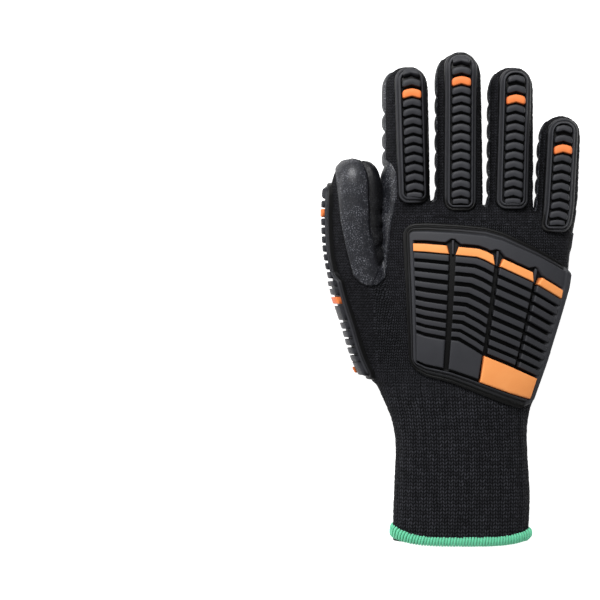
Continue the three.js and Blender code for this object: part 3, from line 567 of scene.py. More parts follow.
# Round a finger or the thumb, in half turns from the back: (turn, share of the full cushion or of the film)
finger_sides = [(0.58, 0), (0.66, 0.3), (0.78, 0.62), (0.9, 1), (1.1, 1), (1.22, 0.62), (1.34, 0.34),
                (1.46, 0.22), (1.56, 0)]
finger_film = [(0.6, 0.5), (0.8, 0.75), (1.2, 0.75), (1.45, 0.4), (1.56, 0.25)]
thumb_sides = [(0.235, 0), (0.275, 0.1), (0.34, 0.66), (0.44, 1), (0.8, 1), (0.92, 0.6), (0.97, 0)]
FILM_FROM, FILM_TO = 0.6, 1.56
# Along the thumb: (along, turn of the coat's edge) and (along, slant of the cushions)
thumb_rim = [(143, 0.99), (150, 0.96), (158, 0.93), (173, 0.91), (195, 0.94), (203, 0.97)]
thumb_slant = [(140, 0.55), (150, 0.5), (160, 0.45), (173, 0.38), (190, 0)]


# %% Cushions and furrows
def pillow(inside, half):
    """Rounded cross-section of a cushion: nothing at its edge, full over its middle."""
    depth = np.clip(inside / half, 0, 1)
    return (1 - (1 - depth) ** 2.3) ** 0.62


def rolls(value, start, pitch, count, furrow=0.55):
    """A row of `count` equal cushions, each `pitch` long, with narrow furrows between them."""
    t = (value - start) / pitch
    inside = (0.5 - np.abs(t - np.floor(t) - 0.5)) * pitch - furrow
    return np.where((t >= 0) & (t < count), pillow(inside, pitch * 0.42), 0)


# %% Palm and web
def edge_wobble(points):
    """A dip line is never quite straight."""
    x, y, _ = points.T
    return 0.3 * np.sin(x * 0.4 + 1.3) * np.sin(y * 0.34) + 0.12 * np.sin(x * 0.9) * np.sin(y * 0.8 + 0.7)


def web_masks(points):
    """How far inside the web a place lies, in millimetres: measured from the hand's side and from the thumb's."""
    x, y, z = points.T
    above_foot = y - follow(x, web_foot)
    from_hand = np.minimum.reduce([follow(y, web_hand_side) - x, above_foot, z - WEB_RIM])
    from_thumb = np.minimum.reduce([x - follow(y, web_thumb_side), above_foot, z - WEB_RIM])
    return from_hand, from_thumb


def palm_mask(points, tube_of, wobble, web):
    x, y, z = points.T
    rows_at = column(film_rows, "along") * GLOVE_LENGTH
    left = np.interp(y, rows_at, column(film_rows, "left") * PALM_WIDTH)
    right = np.interp(y, rows_at, column(film_rows, "right") * PALM_WIDTH)
    bottom = y - rows_at[0] - 0.004 * (x + 3) ** 2 + wobble
    mask = np.minimum.reduce([x - left + wobble, right - x + wobble, bottom, follow(x, palm_rim) - z])
    return np.maximum(mask, np.where(tube_of == THUMB, -9, np.minimum(web, x + 62)))


def palm_bumps(x, y, wobble):
    """Each cushion of the palm is a stadium about its own line, 0 at its edge and 1 over its middle."""
    bumps = np.zeros(len(x))
    for c in palm_cushions:
        a = np.array([c["left"] * PALM_WIDTH, c["left_at"] * GLOVE_LENGTH])
        b = np.array([c["right"] * PALM_WIDTH, c["right_at"] * GLOVE_LENGTH])
        half = c["size"] / 2
        axis = (b - a) / np.linalg.norm(b - a)
        length = max(np.linalg.norm(b - a) - 2 * half * 0.8, 0.01)
        px, py = x - (a[0] + axis[0] * half * 0.8), y - (a[1] + axis[1] * half * 0.8)
        run = np.clip(px * axis[0] + py * axis[1], 0, length)
        away = np.hypot((px - run * axis[0]), (py - run * axis[1])) + wobble * 0.8
        bumps = np.maximum(bumps, pillow(half - away - 0.1, half * 0.85))
    return bumps


def palm_height(points, wobble):
    x, y, z = points.T
    web_fill = 1.2 * np.exp(-((y - 177) / 6) ** 2) * smoothstep(-38, -41, x) * smoothstep(8, 11, z)
    edge_fade = 1 - 0.95 * smoothstep(49.0, 56.0, x) * smoothstep(2.5, 7.0, z)
    bumps = palm_bumps(x, y, wobble) * edge_fade * smoothstep(18.0, 12.0, z)
    return PALM_FILM + CUSHION_RISE * bumps + web_fill


# %% Fingers
def finger_coat(k, f, points, turn, wobble, web):
    """Height and mask of a finger's coat: a row of rolls under the finger, then the long pad of the tip."""
    _, y, z = points.T
    t = np.where(turn < 0, turn + 2, turn)
    start, tip = f["coat_from"] * GLOVE_LENGTH, f["tip"] * GLOVE_LENGTH - 3.2
    yy = y + wobble * 0.6
    pad_from = start + f["cushions"] * CUSHION_PITCH
    pad = pillow(np.minimum(yy - pad_from - 0.5, (tip - yy) * 0.5), 6.5) * (yy > pad_from)
    rise = np.maximum(rolls(yy, start, CUSHION_PITCH, f["cushions"]), pad)
    film = FILM_DEPTH * follow(t, finger_film)
    # a tip pad keeps to the underside near the tip
    side = follow(t, finger_sides) * np.where(t > 1.2, 1 - 0.75 * smoothstep(tip - 12, tip - 3, yy), 1)
    height = film + CUSHION_RISE * rise * side
    if k == LITTLE:
        height = film + CUSHION_RISE * rise * side * smoothstep(0.55, 0.9, t)
    if k == INDEX:
        # beside the web the film stands up in a flap, and the rolls reach round to the finger's side
        flare = 2.3 * smoothstep(205, 197, yy) * np.exp(-((t - 1.48) / 0.15) ** 2)
        rolled = film + CUSHION_RISE * rise * 0.5 * np.exp(-((t - 1.4) / 0.14) ** 2)
        height = np.maximum(height, np.maximum(rolled, film + flare))
    half_girth = math.pi * FINGER_WIDTH / 2
    mask = np.minimum.reduce([(t - FILM_FROM) * half_girth, (FILM_TO - t) * half_girth, tip - y + wobble])
    if k == INDEX:
        mask = np.maximum(mask, np.minimum(web, tip - y))
    under_root = (y < start + 2) & (z < 13)
    return height, np.where(under_root, np.maximum(mask, 2.0), mask)


# %% Thumb
def thumb_coat(points, turn, wobble, dome, palm, height):
    """Height and mask of the thumb's coat: slanted rolls, a tall pad that faces the fingers, and a smooth film."""
    x, y, z = points.T
    half_girth = math.pi * THUMB_WIDTH / 2
    over = np.where((turn > -0.5) & (turn < 0.5), dome, 9.0)
    round_side = np.where(turn < -0.45, -9.0, (follow(y, thumb_rim) - turn) * half_girth)
    mask = np.minimum.reduce([over, round_side, THUMB_TIP - 2.0 - y + wobble])
    level = y - follow(y, thumb_slant) * (x - np.interp(y, line_at, thumb_x))
    pad_from = THUMB_COAT_FROM + THUMB_CUSHIONS * CUSHION_PITCH
    pad = pillow(np.minimum(level - pad_from - 0.5, (THUMB_TIP - 2.7 - y) * 0.9), 6.0) * (level > pad_from)
    rise = np.maximum(rolls(level, THUMB_COAT_FROM, CUSHION_PITCH, THUMB_CUSHIONS), pad)
    rise = np.maximum(rise, 0.6 * smoothstep(156, 162, y) * smoothstep(192, 186, y))
    crease = 1.6 * np.exp(-((turn - 0.245) / 0.035) ** 2) * smoothstep(pad_from - 14, pad_from - 4, y)
    crown = 0.7 * np.exp(-((turn - 0.02) / 0.22) ** 2)
    cushioned = PALM_FILM + (CUSHION_RISE - 0.6) * rise * follow(turn, thumb_sides) - crease + crown
    height = np.where(y > THUMB_COAT_FROM + 2, cushioned, np.maximum(height, PALM_FILM + crown))
    low = (y < 152) & (z < 14)
    return height, np.where(low, np.maximum(palm, mask), mask)


# %% The coat as one height field
def coat_height(points, tube_of, turn):
    """Height over the skin in millimetres: it falls to below the knit's surface at the coat's edge."""
    wobble = edge_wobble(points)
    web, dome = web_masks(points)
    mask = palm_mask(points, tube_of, wobble, web)
    on_palm = (tube_of == PALM) | ((tube_of == THUMB) & (points[:, 1] < THUMB_COAT_FROM + 4))
    height = np.where(on_palm, palm_height(points, wobble), NOWHERE)
    for k, f in enumerate(fingers, 1):
        here = tube_of == k
        height[here], mask[here] = finger_coat(k, f, points[here], turn[here], wobble[here], web[here])
    here = tube_of == THUMB
    on_thumb = [values[here] for values in (points, turn, wobble, dome, mask, height)]
    height[here], mask[here] = thumb_coat(*on_thumb)
    return np.where(mask > NOWHERE, ROOTED + (height - ROOTED) * smoothstep(-0.6, 0.5, mask), NOWHERE)


def coat_owner(points):
    """Which coat a place belongs to: 0 palm, 1 to 4 fingers, 5 thumb."""
    x, y, z = points.T
    owner = np.zeros(len(points), int)
    for k, f in enumerate(fingers, 1):
        beside = np.abs(x - finger_section(f, y)[0]) < FINGER_WIDTH * 0.62
        owner[beside & (y > f["coat_from"] * GLOVE_LENGTH)] = k
    centre = np.interp(y, line_at, thumb_x)
    owner[(x < -43.3) & (y - 0.45 * (x - centre) > THUMB_COAT_FROM - 1.5)] = THUMB
    return owner


# %% [markdown]
# A patch of the skin's own faces is lifted by that height field. Its outer and inner face are joined at the rim, so
# each coat is a closed skin of rubber. A subdivided patch has enough points for the narrow furrows, and a place's
# owner decides which coat it goes to, so neighbouring coats meet in one clean line.

# %% Coat meshes
def coat_patch(keep_faces):
    """Faces of the skin under the coat, each split in four so that a furrow has enough points."""
    mesh = bmesh.new()
    mesh.from_mesh(skin.data)
    mesh.faces.ensure_lookup_table()
    bmesh.ops.delete(mesh, geom=[f for f, keep in zip(mesh.faces, keep_faces) if not keep], context="FACES")
    data = bpy.data.meshes.new("patch")
    mesh.to_mesh(data)
    mesh.free()
    thing = bpy.data.objects.new("patch", data)
    bpy.context.collection.objects.link(thing)
    finer = thing.modifiers.new("finer", "SUBSURF")
    finer.levels = finer.render_levels = 1
    finer.boundary_smooth = "PRESERVE_CORNERS"
    return evaluated(thing)


skin_points = points_of(skin)
skin_height = coat_height(skin_points, tube_of, turn)
near = np.array([max(skin_height[i] for i in f.vertices) > -0.69 for f in skin.data.polygons])
patch = coat_patch(near)
patch_points = points_of(patch)
patch_normals = normals_of(patch)
patch_tube, patch_turn, _, _ = chart(patch_points)
patch_height = coat_height(patch_points, patch_tube, patch_turn)
patch_faces = np.array([f.vertices[:] for f in patch.data.polygons])
print("coat patch:", len(patch_faces), "faces")


def sharpen_rim(thing, rim):
    """Marks the coat's rim as sharp, so that its shading doesn't show as a line between two coats."""
    ends = np.empty(len(thing.data.edges) * 2, np.int64)
    thing.data.edges.foreach_get("vertices", ends)
    ends, rim = np.sort(ends.reshape(-1, 2), 1), np.sort(rim, 1)
    hard = np.isin(ends[:, 0] * 10 ** 7 + ends[:, 1], rim[:, 0] * 10 ** 7 + rim[:, 1])
    thing.data.attributes.new("sharp_edge", "BOOLEAN", "EDGE").data.foreach_set("value", hard)


def shade_thumb_pad(thing, turns_of, along_of):
    """The pad beside the crease lies in the thumb's own shade, which is painted here into its stored painted light."""
    values = thing.data.attributes["painted_light"].data
    painted_light_share = np.empty(len(values), np.float32)
    values.foreach_get("value", painted_light_share)
    painted_light_share *= 1 - 0.92 * smoothstep(0.2, 0.27, turns_of) * smoothstep(THUMB_COAT_FROM, THUMB_COAT_FROM + 6, along_of)
    values.foreach_set("value", painted_light_share.astype(np.float32))


RUBBER_UNDER = 1.15  # the coat's inner face lies this deep in the cloth


def coat_piece(name, number):
    centres = patch_points[patch_faces].mean(1)
    wanted = (coat_owner(centres) == number) & (patch_height[patch_faces].max(1) > -0.62)
    faces = patch_faces[wanted]
    used, index = np.unique(faces.ravel(), return_inverse=True)
    faces = index.reshape(-1, 4)
    base, normal, height = patch_points[used], patch_normals[used], patch_height[used]
    outer = base + normal * height[:, None]
    outer[:, 2] = np.maximum(outer[:, 2], 0.03)
    inner = base - normal * RUBBER_UNDER
    count = len(used)
    edges = np.concatenate([faces[:, [k, (k + 1) % 4]] for k in range(4)])
    key = np.sort(edges, 1)
    _, first, times = np.unique(key, axis=0, return_index=True, return_counts=True)
    rim = edges[first[times == 1]]
    all_faces = faces.tolist() + (faces[:, ::-1] + count).tolist()
    all_faces += [(b, a, a + count, b + count) for a, b in rim.tolist()]
    thing = new_object(name, np.concatenate([outer, inner]), all_faces)
    write_chart(thing)
    sharpen_rim(thing, rim)
    store_painted_light(thing)
    if number == THUMB:
        shade_thumb_pad(thing, np.tile(patch_turn[used], 2), np.tile(base[:, 1], 2))
    values = np.concatenate([height, np.full(count, FILM_DEPTH)])
    layer = thing.data.attributes.new("rise", "FLOAT", "POINT")
    layer.data.foreach_set("value", np.clip(values / CUSHION_DEPTH, 0, 1).astype(np.float32))
    print(name, len(thing.data.polygons), "faces")
    return thing


coats = {"palm_coat": coat_piece("palm_coat", PALM), "thumb_coat": coat_piece("thumb_coat", THUMB)}
for k, f in enumerate(fingers, 1):
    coats[f["name"] + "_coat"] = coat_piece(f["name"] + "_coat", k)
remove(patch)

# %% [markdown]
# ## Guards on the fingers
# Each guard is one moulding: a rounded strip with a raised border, a fine groove in the border and a sunken bed in
# which a row of bent ribs stands. The strip is a grid over the finger's back, lifted by a profile that depends
# only on the distance to the outline, so the border keeps its width round the ends.

# %% Strips
def slab_faces(rows, columns, pick):
    """Faces of a closed slab: a fine grid on top, a coarse one below at the columns of `pick`, walls between."""
    faces = []
    for r in range(rows - 1):
        for k in range(columns - 1):
            a = r * columns + k
            faces.append((a, a + 1, a + columns + 1, a + columns))
    start, n = rows * columns, len(pick)
    for r in range(rows - 1):
        for k in range(n - 1):
            a = start + r * n + k
            faces.append((a + n, a + n + 1, a + 1, a))
        a, b = r * columns, start + r * n
        faces.append((a, a + columns, b + n, b))
        a, b = a + columns - 1, b + n - 1
        faces.append((a + columns, a, b, b + n))
    for r, flip in ((0, False), (rows - 1, True)):
        for k in range(n - 1):
            edge = [r * columns + i for i in range(pick[k], pick[k + 1] + 1)]
            face = edge[::-1] + [start + r * n + k, start + r * n + k + 1]
            faces.append(tuple(face if not flip else face[::-1]))
    return faces


def slab(surface, u, v, height, under_columns):
    """A closed slab on a surface: its top lifted by `height`, its underside rooted in the knit."""
    rows, columns = u.shape
    pick = np.linspace(0, columns - 1, under_columns).round().astype(int)
    top = surface(u, v, height)
    under = surface(u[:, pick], v[:, pick], np.full((rows, under_columns), ROOTED))
    return np.concatenate([top.reshape(-1, 3), under.reshape(-1, 3)]), slab_faces(rows, columns, pick)


def rounded_width(full, distance, radius):
    """Half width of the strip where its end is rounded, `distance` away from the end."""
    arc = np.sqrt(np.clip(radius ** 2 - (radius - distance) ** 2, 0, None))
    return np.where(distance < radius, full - radius + arc, np.inf)


def strip(surface, half_width, near, far, profile, columns, rows, near_round, far_round):
    """surface(u, v, h) gives points; half_width(v) the outline; profile maps distance inwards to height."""
    v = np.linspace(0, 1, rows)
    v = near + (far - near) * (v - 0.06 * np.sin(2 * math.pi * v) * 0.9)
    c = np.linspace(-1, 1, columns)
    c = np.sign(c) * (1 - (1 - np.abs(c)) ** 1.25)
    full = half_width(v)
    low, high = v - near, far - v
    width = np.where(low < near_round, rounded_width(full, low, near_round), full)
    width = np.where(high < far_round, rounded_width(full, high, far_round), width)
    width = np.maximum(width, 0.05)
    u = width[:, None] * c[None, :]

    def inside(radius, edge_distance):
        du = np.maximum(np.abs(u) - (full[:, None] - radius), 0)
        dv = np.maximum(radius - edge_distance[:, None], 0) + 0 * u
        corner = radius - np.hypot(du, dv)
        return np.where(du > 0, corner, np.minimum(np.where(dv > 0, radius - dv, 99), full[:, None] - np.abs(u)))

    distance = np.minimum.reduce([inside(near_round, low), inside(far_round, high), full[:, None] - np.abs(u)])
    height = follow(np.maximum(distance, 0), profile)
    return slab(surface, u, np.repeat(v[:, None], columns, 1), height, 7)


# (distance from the outline, height above the knit) in millimetres: outer step, groove, border, bed
guard_profile = [(0, ROOTED), (0.12, 1.9), (0.4, 2.5), (0.8, 2.72), (1.35, 2.72), (1.5, 2.35), (1.75, 2.3),
                 (1.92, 2.75), (2.2, 3.45), (2.55, 3.75), (2.95, 3.72), (3.2, 3.4), (3.42, 1.7), (3.6, 1.55),
                 (20, 1.55)]


def guard_surface(f):
    near, far = f["guard_from"] * GLOVE_LENGTH, f["guard_to"] * GLOVE_LENGTH

    def surface(u, v, h):
        mid, height, half_x, half_z = finger_section(f, np.minimum(v, far - 1.2), SKIN_LIFT)
        shift = lerp(f["shift_root"], f["shift_tip"], (v - near) / (far - near)) * FINGER_WIDTH
        share = np.clip(np.abs(u + shift) / np.maximum(half_x, 1), 0, 0.97)
        top = half_z * (1 - share ** FINGER_ROUND) ** (1 / FINGER_ROUND)
        return np.stack([mid + shift + u, v, height + top + h], -1)

    return surface


# %% [markdown]
# The ribs repeat along a path, so a node tree places them: it resamples the path to a number of places, stands one
# copy of the rib at each, its own Z along the surface's normal and its Y along the path, and makes them real.

# %% Node tree that repeats a piece along a path
def repeat_tree():
    tree = bpy.data.node_groups.new("Repeat along path", "GeometryNodeTree")
    face = tree.interface
    face.new_socket("Geometry", in_out="INPUT", socket_type="NodeSocketGeometry")
    for label, kind in (("Piece", "NodeSocketObject"), ("Count", "NodeSocketInt"), ("Size", "NodeSocketFloat"),
                        ("Unevenness", "NodeSocketFloat"), ("Seed", "NodeSocketInt"), ("Finish", "NodeSocketMaterial")):
        face.new_socket(label, in_out="INPUT", socket_type=kind)
    face.new_socket("Geometry", in_out="OUTPUT", socket_type="NodeSocketGeometry")

    def node(kind, **settings):
        made = tree.nodes.new(kind)
        for key, value in settings.items():
            setattr(made, key, value)
        return made

    source, sink = node("NodeGroupInput"), node("NodeGroupOutput")
    link = tree.links.new
    curve = node("GeometryNodeMeshToCurve")
    sample = node("GeometryNodeResampleCurve")
    link(source.outputs["Geometry"], curve.inputs["Mesh"])
    link(curve.outputs["Curve"], sample.inputs["Curve"])
    link(source.outputs["Count"], sample.inputs["Count"])
    upward = node("GeometryNodeInputNamedAttribute", data_type="FLOAT_VECTOR")
    upward.inputs["Name"].default_value = "upward"
    share = node("GeometryNodeInputNamedAttribute", data_type="FLOAT")
    share.inputs["Name"].default_value = "share"
    tangent = node("GeometryNodeInputTangent")
    stand = node("FunctionNodeAlignRotationToVector", axis="Z", pivot_axis="AUTO")
    link(upward.outputs["Attribute"], stand.inputs["Vector"])
    turn_to = node("FunctionNodeAlignRotationToVector", axis="Y", pivot_axis="Z")
    link(stand.outputs["Rotation"], turn_to.inputs["Rotation"])
    link(tangent.outputs["Tangent"], turn_to.inputs["Vector"])
    chance = node("FunctionNodeRandomValue", data_type="FLOAT")
    low = node("ShaderNodeMath", operation="SUBTRACT")
    low.inputs[0].default_value = 1.0
    high = node("ShaderNodeMath", operation="ADD")
    high.inputs[0].default_value = 1.0
    link(source.outputs["Unevenness"], low.inputs[1])
    link(source.outputs["Unevenness"], high.inputs[1])
    link(low.outputs[0], chance.inputs[2])
    link(high.outputs[0], chance.inputs[3])
    link(source.outputs["Seed"], chance.inputs["Seed"])
    size = node("ShaderNodeMath", operation="MULTIPLY")
    link(source.outputs["Size"], size.inputs[0])
    link(chance.outputs[1], size.inputs[1])
    scaled = node("ShaderNodeMath", operation="MULTIPLY")
    link(size.outputs[0], scaled.inputs[0])
    link(share.outputs["Attribute"], scaled.inputs[1])
    piece = node("GeometryNodeObjectInfo")
    link(source.outputs["Piece"], piece.inputs["Object"])
    put = node("GeometryNodeInstanceOnPoints")
    link(sample.outputs["Curve"], put.inputs["Points"])
    link(piece.outputs["Geometry"], put.inputs["Instance"])
    link(turn_to.outputs["Rotation"], put.inputs["Rotation"])
    link(scaled.outputs[0], put.inputs["Scale"])
    real = node("GeometryNodeRealizeInstances")
    paint = node("GeometryNodeSetMaterial")
    link(put.outputs["Instances"], real.inputs["Geometry"])
    link(real.outputs["Geometry"], paint.inputs["Geometry"])
    link(source.outputs["Finish"], paint.inputs["Material"])
    link(paint.outputs["Geometry"], sink.inputs["Geometry"])
    return tree


repeat = repeat_tree()


def repeated(name, path, upward, piece, count, finish, size=1.0, unevenness=0.0, seed=3, closed=False, share=None):
    """Runs the tree on a path of millimetre points and returns the copies as one plain mesh."""
    mesh = bpy.data.meshes.new(name)
    placed = (np.asarray(path) + MIDDLE) / 1000
    edges = [(i, i + 1) for i in range(len(placed) - 1)] + ([(len(placed) - 1, 0)] if closed else [])
    mesh.from_pydata(placed.tolist(), edges, [])
    layer = mesh.attributes.new("upward", "FLOAT_VECTOR", "POINT")
    layer.data.foreach_set("vector", np.asarray(upward, np.float32).ravel())
    layer = mesh.attributes.new("share", "FLOAT", "POINT")
    layer.data.foreach_set("value", np.asarray(np.ones(len(placed)) if share is None else share, np.float32))
    thing = bpy.data.objects.new(name, mesh)
    bpy.context.collection.objects.link(thing)
    nodes = thing.modifiers.new("repeat", "NODES")
    nodes.node_group = repeat
    inputs = {s.name: s.identifier for s in repeat.interface.items_tree if getattr(s, "in_out", "") == "INPUT"}
    for label, value in (("Piece", piece), ("Count", int(count)), ("Size", float(size)),
                         ("Unevenness", float(unevenness)), ("Seed", int(seed)), ("Finish", finish)):
        nodes[inputs[label]] = value
    evaluated(thing)
    thing.data.polygons.foreach_set("use_smooth", np.ones(len(thing.data.polygons), bool))
    return thing


def item(name, points, faces):
    """A piece to repeat, in millimetres about its own origin. It is removed at the end."""
    mesh = bpy.data.meshes.new(name)
    mesh.from_pydata((np.asarray(points) / 1000).tolist(), [], [list(map(int, f)) for f in faces])
    mesh.validate()
    thing = bpy.data.objects.new(name, mesh)
    bpy.context.collection.objects.link(thing)
    return thing


def join(name, things):
    """Joins objects into one mesh, keeping each one's material."""
    with bpy.context.temp_override(active_object=things[0], object=things[0], selected_objects=things,
                                   selected_editable_objects=things):
        bpy.ops.object.join()
    things[0].name = name
    things[0].data.name = name
    return things[0]


# %% [markdown]
# ## Materials
# Shader maths is written as Python expressions on a small socket class.

# %% Shader helper
class Wire:
    """A node socket that can be added, multiplied and so on: each operation adds a Math or Vector Math node."""

    def __init__(self, book, socket):
        self.book, self.socket = book, socket

    @property
    def is_vector(self):
        return self.socket.type in ("VECTOR", "RGBA")

    def _math(self, operation, *others, first=None):
        inputs = [self, *others] if first is None else [first, self]
        vector = any(isinstance(i, Wire) and i.is_vector for i in inputs)
        kind = "ShaderNodeVectorMath" if vector else "ShaderNodeMath"
        made = self.book.tree.nodes.new(kind)
        made.operation = operation
        for slot, value in zip(made.inputs, inputs):
            self.book.feed(slot, value)
        return Wire(self.book, made.outputs[0])

    def __add__(self, other):
        return self._math("ADD", other)

    def __radd__(self, other):
        return self._math("ADD", first=other)

    def __sub__(self, other):
        return self._math("SUBTRACT", other)

    def __rsub__(self, other):
        return self._math("SUBTRACT", first=other)

    def __mul__(self, other):
        return self._math("MULTIPLY", other)

    def __rmul__(self, other):
        return self._math("MULTIPLY", first=other)

    def __truediv__(self, other):
        return self._math("DIVIDE", other)

    def __pow__(self, other):
        return self._math("POWER", other)

    def sin(self):
        return self._math("SINE")

    def abs(self):
        return self._math("ABSOLUTE")

    def frac(self):
        return self._math("FRACT")

    def floor(self):
        return self._math("FLOOR")

    def max(self, other):
        return self._math("MAXIMUM", other)

    def min(self, other):
        return self._math("MINIMUM", other)

    def clamp(self):
        return self.max(0.0).min(1.0)


class Book:
    """One material's node tree."""

    def __init__(self, name):
        self.material = bpy.data.materials.new(name)
        self.material.use_nodes = True
        self.tree = self.material.node_tree
        self.tree.nodes.clear()
        self.out = self.tree.nodes.new("ShaderNodeOutputMaterial")
        self.shader = self.tree.nodes.new("ShaderNodeBsdfPrincipled")
        self.tree.links.new(self.shader.outputs["BSDF"], self.out.inputs["Surface"])

    def feed(self, slot, value):
        if isinstance(value, Wire):
            self.tree.links.new(value.socket, slot)
        elif value is not None:
            if slot.type in ("VECTOR", "RGBA") and not hasattr(value, "__len__"):
                value = [value] * (4 if slot.type == "RGBA" else 3)
            slot.default_value = value

    def node(self, kind, settings=None, output=0, **values):
        made = self.tree.nodes.new(kind)
        for key, value in (settings or {}).items():
            setattr(made, key, value)
        for key, value in values.items():
            label = key.replace("_", " ")
            slot = next(s for s in made.inputs if s.name == label and s.enabled)
            self.feed(slot, value)
        return Wire(self, made.outputs[output])

    def mix(self, share, a, b):
        made = self.tree.nodes.new("ShaderNodeMix")
        made.data_type = "RGBA"
        self.feed(made.inputs[0], share)
        self.feed(made.inputs[6], a)
        self.feed(made.inputs[7], b)
        return Wire(self, made.outputs[2])

    def place(self):
        """Object coordinates in millimetres."""
        made = self.tree.nodes.new("ShaderNodeTexCoord")
        return Wire(self, made.outputs["Object"]) * 1000.0

    def noise(self, at, scale, detail=3.0, roughness=0.5):
        return self.node("ShaderNodeTexNoise", Vector=at, Scale=scale, Detail=detail, Roughness=roughness)

    def bump(self, height, strength, distance):
        made = self.tree.nodes.new("ShaderNodeBump")
        self.feed(made.inputs["Height"], height)
        made.inputs["Strength"].default_value = strength
        made.inputs["Distance"].default_value = distance / 1000
        return Wire(self, made.outputs[0])

    def set(self, **values):
        for key, value in values.items():
            self.feed(self.shader.inputs[key.replace("_", " ")], value)
        return self


# %% Knit, coat, guard, accent and hem
def knit_material():
    book = Book("knit")
    chart_uv = book.node("ShaderNodeUVMap", {"uv_map": "chart"})
    split = book.tree.nodes.new("ShaderNodeSeparateXYZ")
    book.feed(split.inputs[0], chart_uv)
    u, v = Wire(book, split.outputs[0]), Wire(book, split.outputs[1])
    place = book.place()
    painted_light_share = book.node("ShaderNodeAttribute", {"attribute_name": "painted_light"}, output=2)
    drift = (book.noise(place, 0.2, 2.0) - 0.5) * 0.6

    def loops(wale, course):
        """Rows of V stitches: two legs to a wale, each leg fading where it slips under the next course."""
        wales = u / wale + drift
        leg = (wales.frac() - 0.5).abs()
        courses = v / course - leg * 1.3 + drift
        strand = (1.0 - ((leg - 0.25) / 0.24) ** 2.0).max(0.0) ** 0.8
        arch = ((courses.frac() * math.pi).sin()).max(0.0) ** 0.8
        cell = book.tree.nodes.new("ShaderNodeCombineXYZ")
        book.feed(cell.inputs[0], wales.floor())
        book.feed(cell.inputs[1], courses.floor())
        chance = book.node("ShaderNodeTexWhiteNoise", {"noise_dimensions": "2D"}, Vector=Wire(book, cell.outputs[0]))
        return strand * arch, chance

    fine, fine_chance = loops(1.75, 1.5)
    wide, wide_chance = loops(RIB_PITCH / 2, 1.9)
    fuzz = book.noise(place, 2.2, 4.0, 0.65)
    cloud = book.noise(place, 0.12, 2.0)
    on_cuff = ((100.0 - v) / 25.0).clamp()
    loop = fine + (wide - fine) * on_cuff
    chance = fine_chance + (wide_chance - fine_chance) * on_cuff
    # painted shade: the colour is darker in the furrows between the cuff's ribs
    painted_furrow_shade = 1.0 - on_cuff * (1.0 - (u * (math.pi / RIB_PITCH) + math.pi / 2).sin().abs() ** 0.7) * 0.35
    height = loop + fuzz * 0.35
    # painted shade: the stitches are painted darker where the knit faces sideways, and darker on the hand than on the
    # cuff for the shade under the guards
    lit = loop * (0.42 + chance * 0.4) * (0.62 + 0.3 * on_cuff + cloud * 0.35) * (0.35 + painted_light_share * 0.65)
    shade = ((lit + (fuzz - 0.5) * 0.16) * painted_furrow_shade).clamp()
    colour = book.mix(shade, (0.0006, 0.0006, 0.0008, 1), (0.05, 0.051, 0.061, 1))
    normal = book.bump(height, 1.0, 0.6)
    book.set(Base_Color=colour, Roughness=0.85, Normal=normal, Specular_IOR_Level=0.12)
    return book.material


def coat_material():
    book = Book("coat")
    place = book.place()
    rise = book.node("ShaderNodeAttribute", {"attribute_name": "rise"}, output=2)
    pebble = book.node("ShaderNodeTexVoronoi", {"feature": "SMOOTH_F1"}, Vector=place, Scale=1.5, Smoothness=0.5)
    fine = book.noise(place, 1.3, 4.0, 0.55)
    broad = book.noise(place, 0.16, 2.0)
    low = 1.0 - (rise * 2.2).clamp()
    # painted glints: the foam's open cells show as scattered light specks painted into the colour, weaker where the
    # coat faces sideways; they also add bump and make the rubber less rough there
    painted_light_share = book.node("ShaderNodeAttribute", {"attribute_name": "painted_light"}, output=2)
    patch = ((broad - 0.4) * 6.0).clamp() * 0.8 + 0.2
    cells_and_painted_glints = ((book.noise(place, 1.5, 2.0, 0.6) - 0.555) * 12.0).clamp() * patch
    grain = fine * 0.7 - pebble * (0.25 + low * 0.3) + cells_and_painted_glints * 0.8
    rough = (0.34 + fine * 0.16 - cells_and_painted_glints * 0.2).clamp()
    # painted shade: the coat's colour is painted darker where it faces sideways
    tone = (fine * 0.5 + broad * 0.6) * (0.1 + painted_light_share * 0.9)
    colour = book.mix(tone, (0.0008, 0.0009, 0.0013, 1), (0.023, 0.0245, 0.032, 1))
    colour = book.mix(cells_and_painted_glints * (0.1 + painted_light_share * 0.8), colour, (0.19, 0.195, 0.22, 1))
    normal = book.bump(grain, 0.55, 0.45)
    book.set(Base_Color=colour, Roughness=rough, Normal=normal, Specular_IOR_Level=0.22)
    book.set(Coat_Weight=painted_light_share * 0.3, Coat_Roughness=0.3)
    return book.material


def moulded_material(name, dark, light, side, roughness, painted_recess_light=0.1):
    """`rise` is the height above the knit in millimetres: light rubber on top, and painted near black in the recesses
    as painted shade; sideways-facing sides are painted towards a darker side tone as painted shade too.
    """
    book = Book(name)
    place = book.place()
    grain = book.noise(place, 3.2, 3.0, 0.6)
    soft = book.noise(place, 0.12, 2.0)
    rise = book.node("ShaderNodeAttribute", {"attribute_name": "rise"}, output=2)
    # painted shade: the colour is painted near black where the rubber lies low in a recess
    painted_recess_shade = painted_recess_light + (1.0 - painted_recess_light) * ((rise - 2.0) / 0.9).clamp()
    painted_light_share = book.node("ShaderNodeAttribute", {"attribute_name": "painted_light"}, output=2)
    # painted shade: the colour is painted towards the side tone where the surface faces sideways
    shade = 0.3 + painted_light_share * 0.7
    colour = book.mix((soft * 0.7 + grain * 0.3).clamp(), dark, light)
    colour = book.mix(shade, side, colour)
    colour = book.mix(painted_recess_shade, (0, 0, 0, 1), colour)
    normal = book.bump(grain, 0.35, 0.12)
    book.set(Base_Color=colour, Roughness=(roughness + (grain - 0.5) * 0.16 + (soft - 0.5) * 0.1).clamp(),
             Normal=normal, Specular_IOR_Level=0.22)
    return book.material


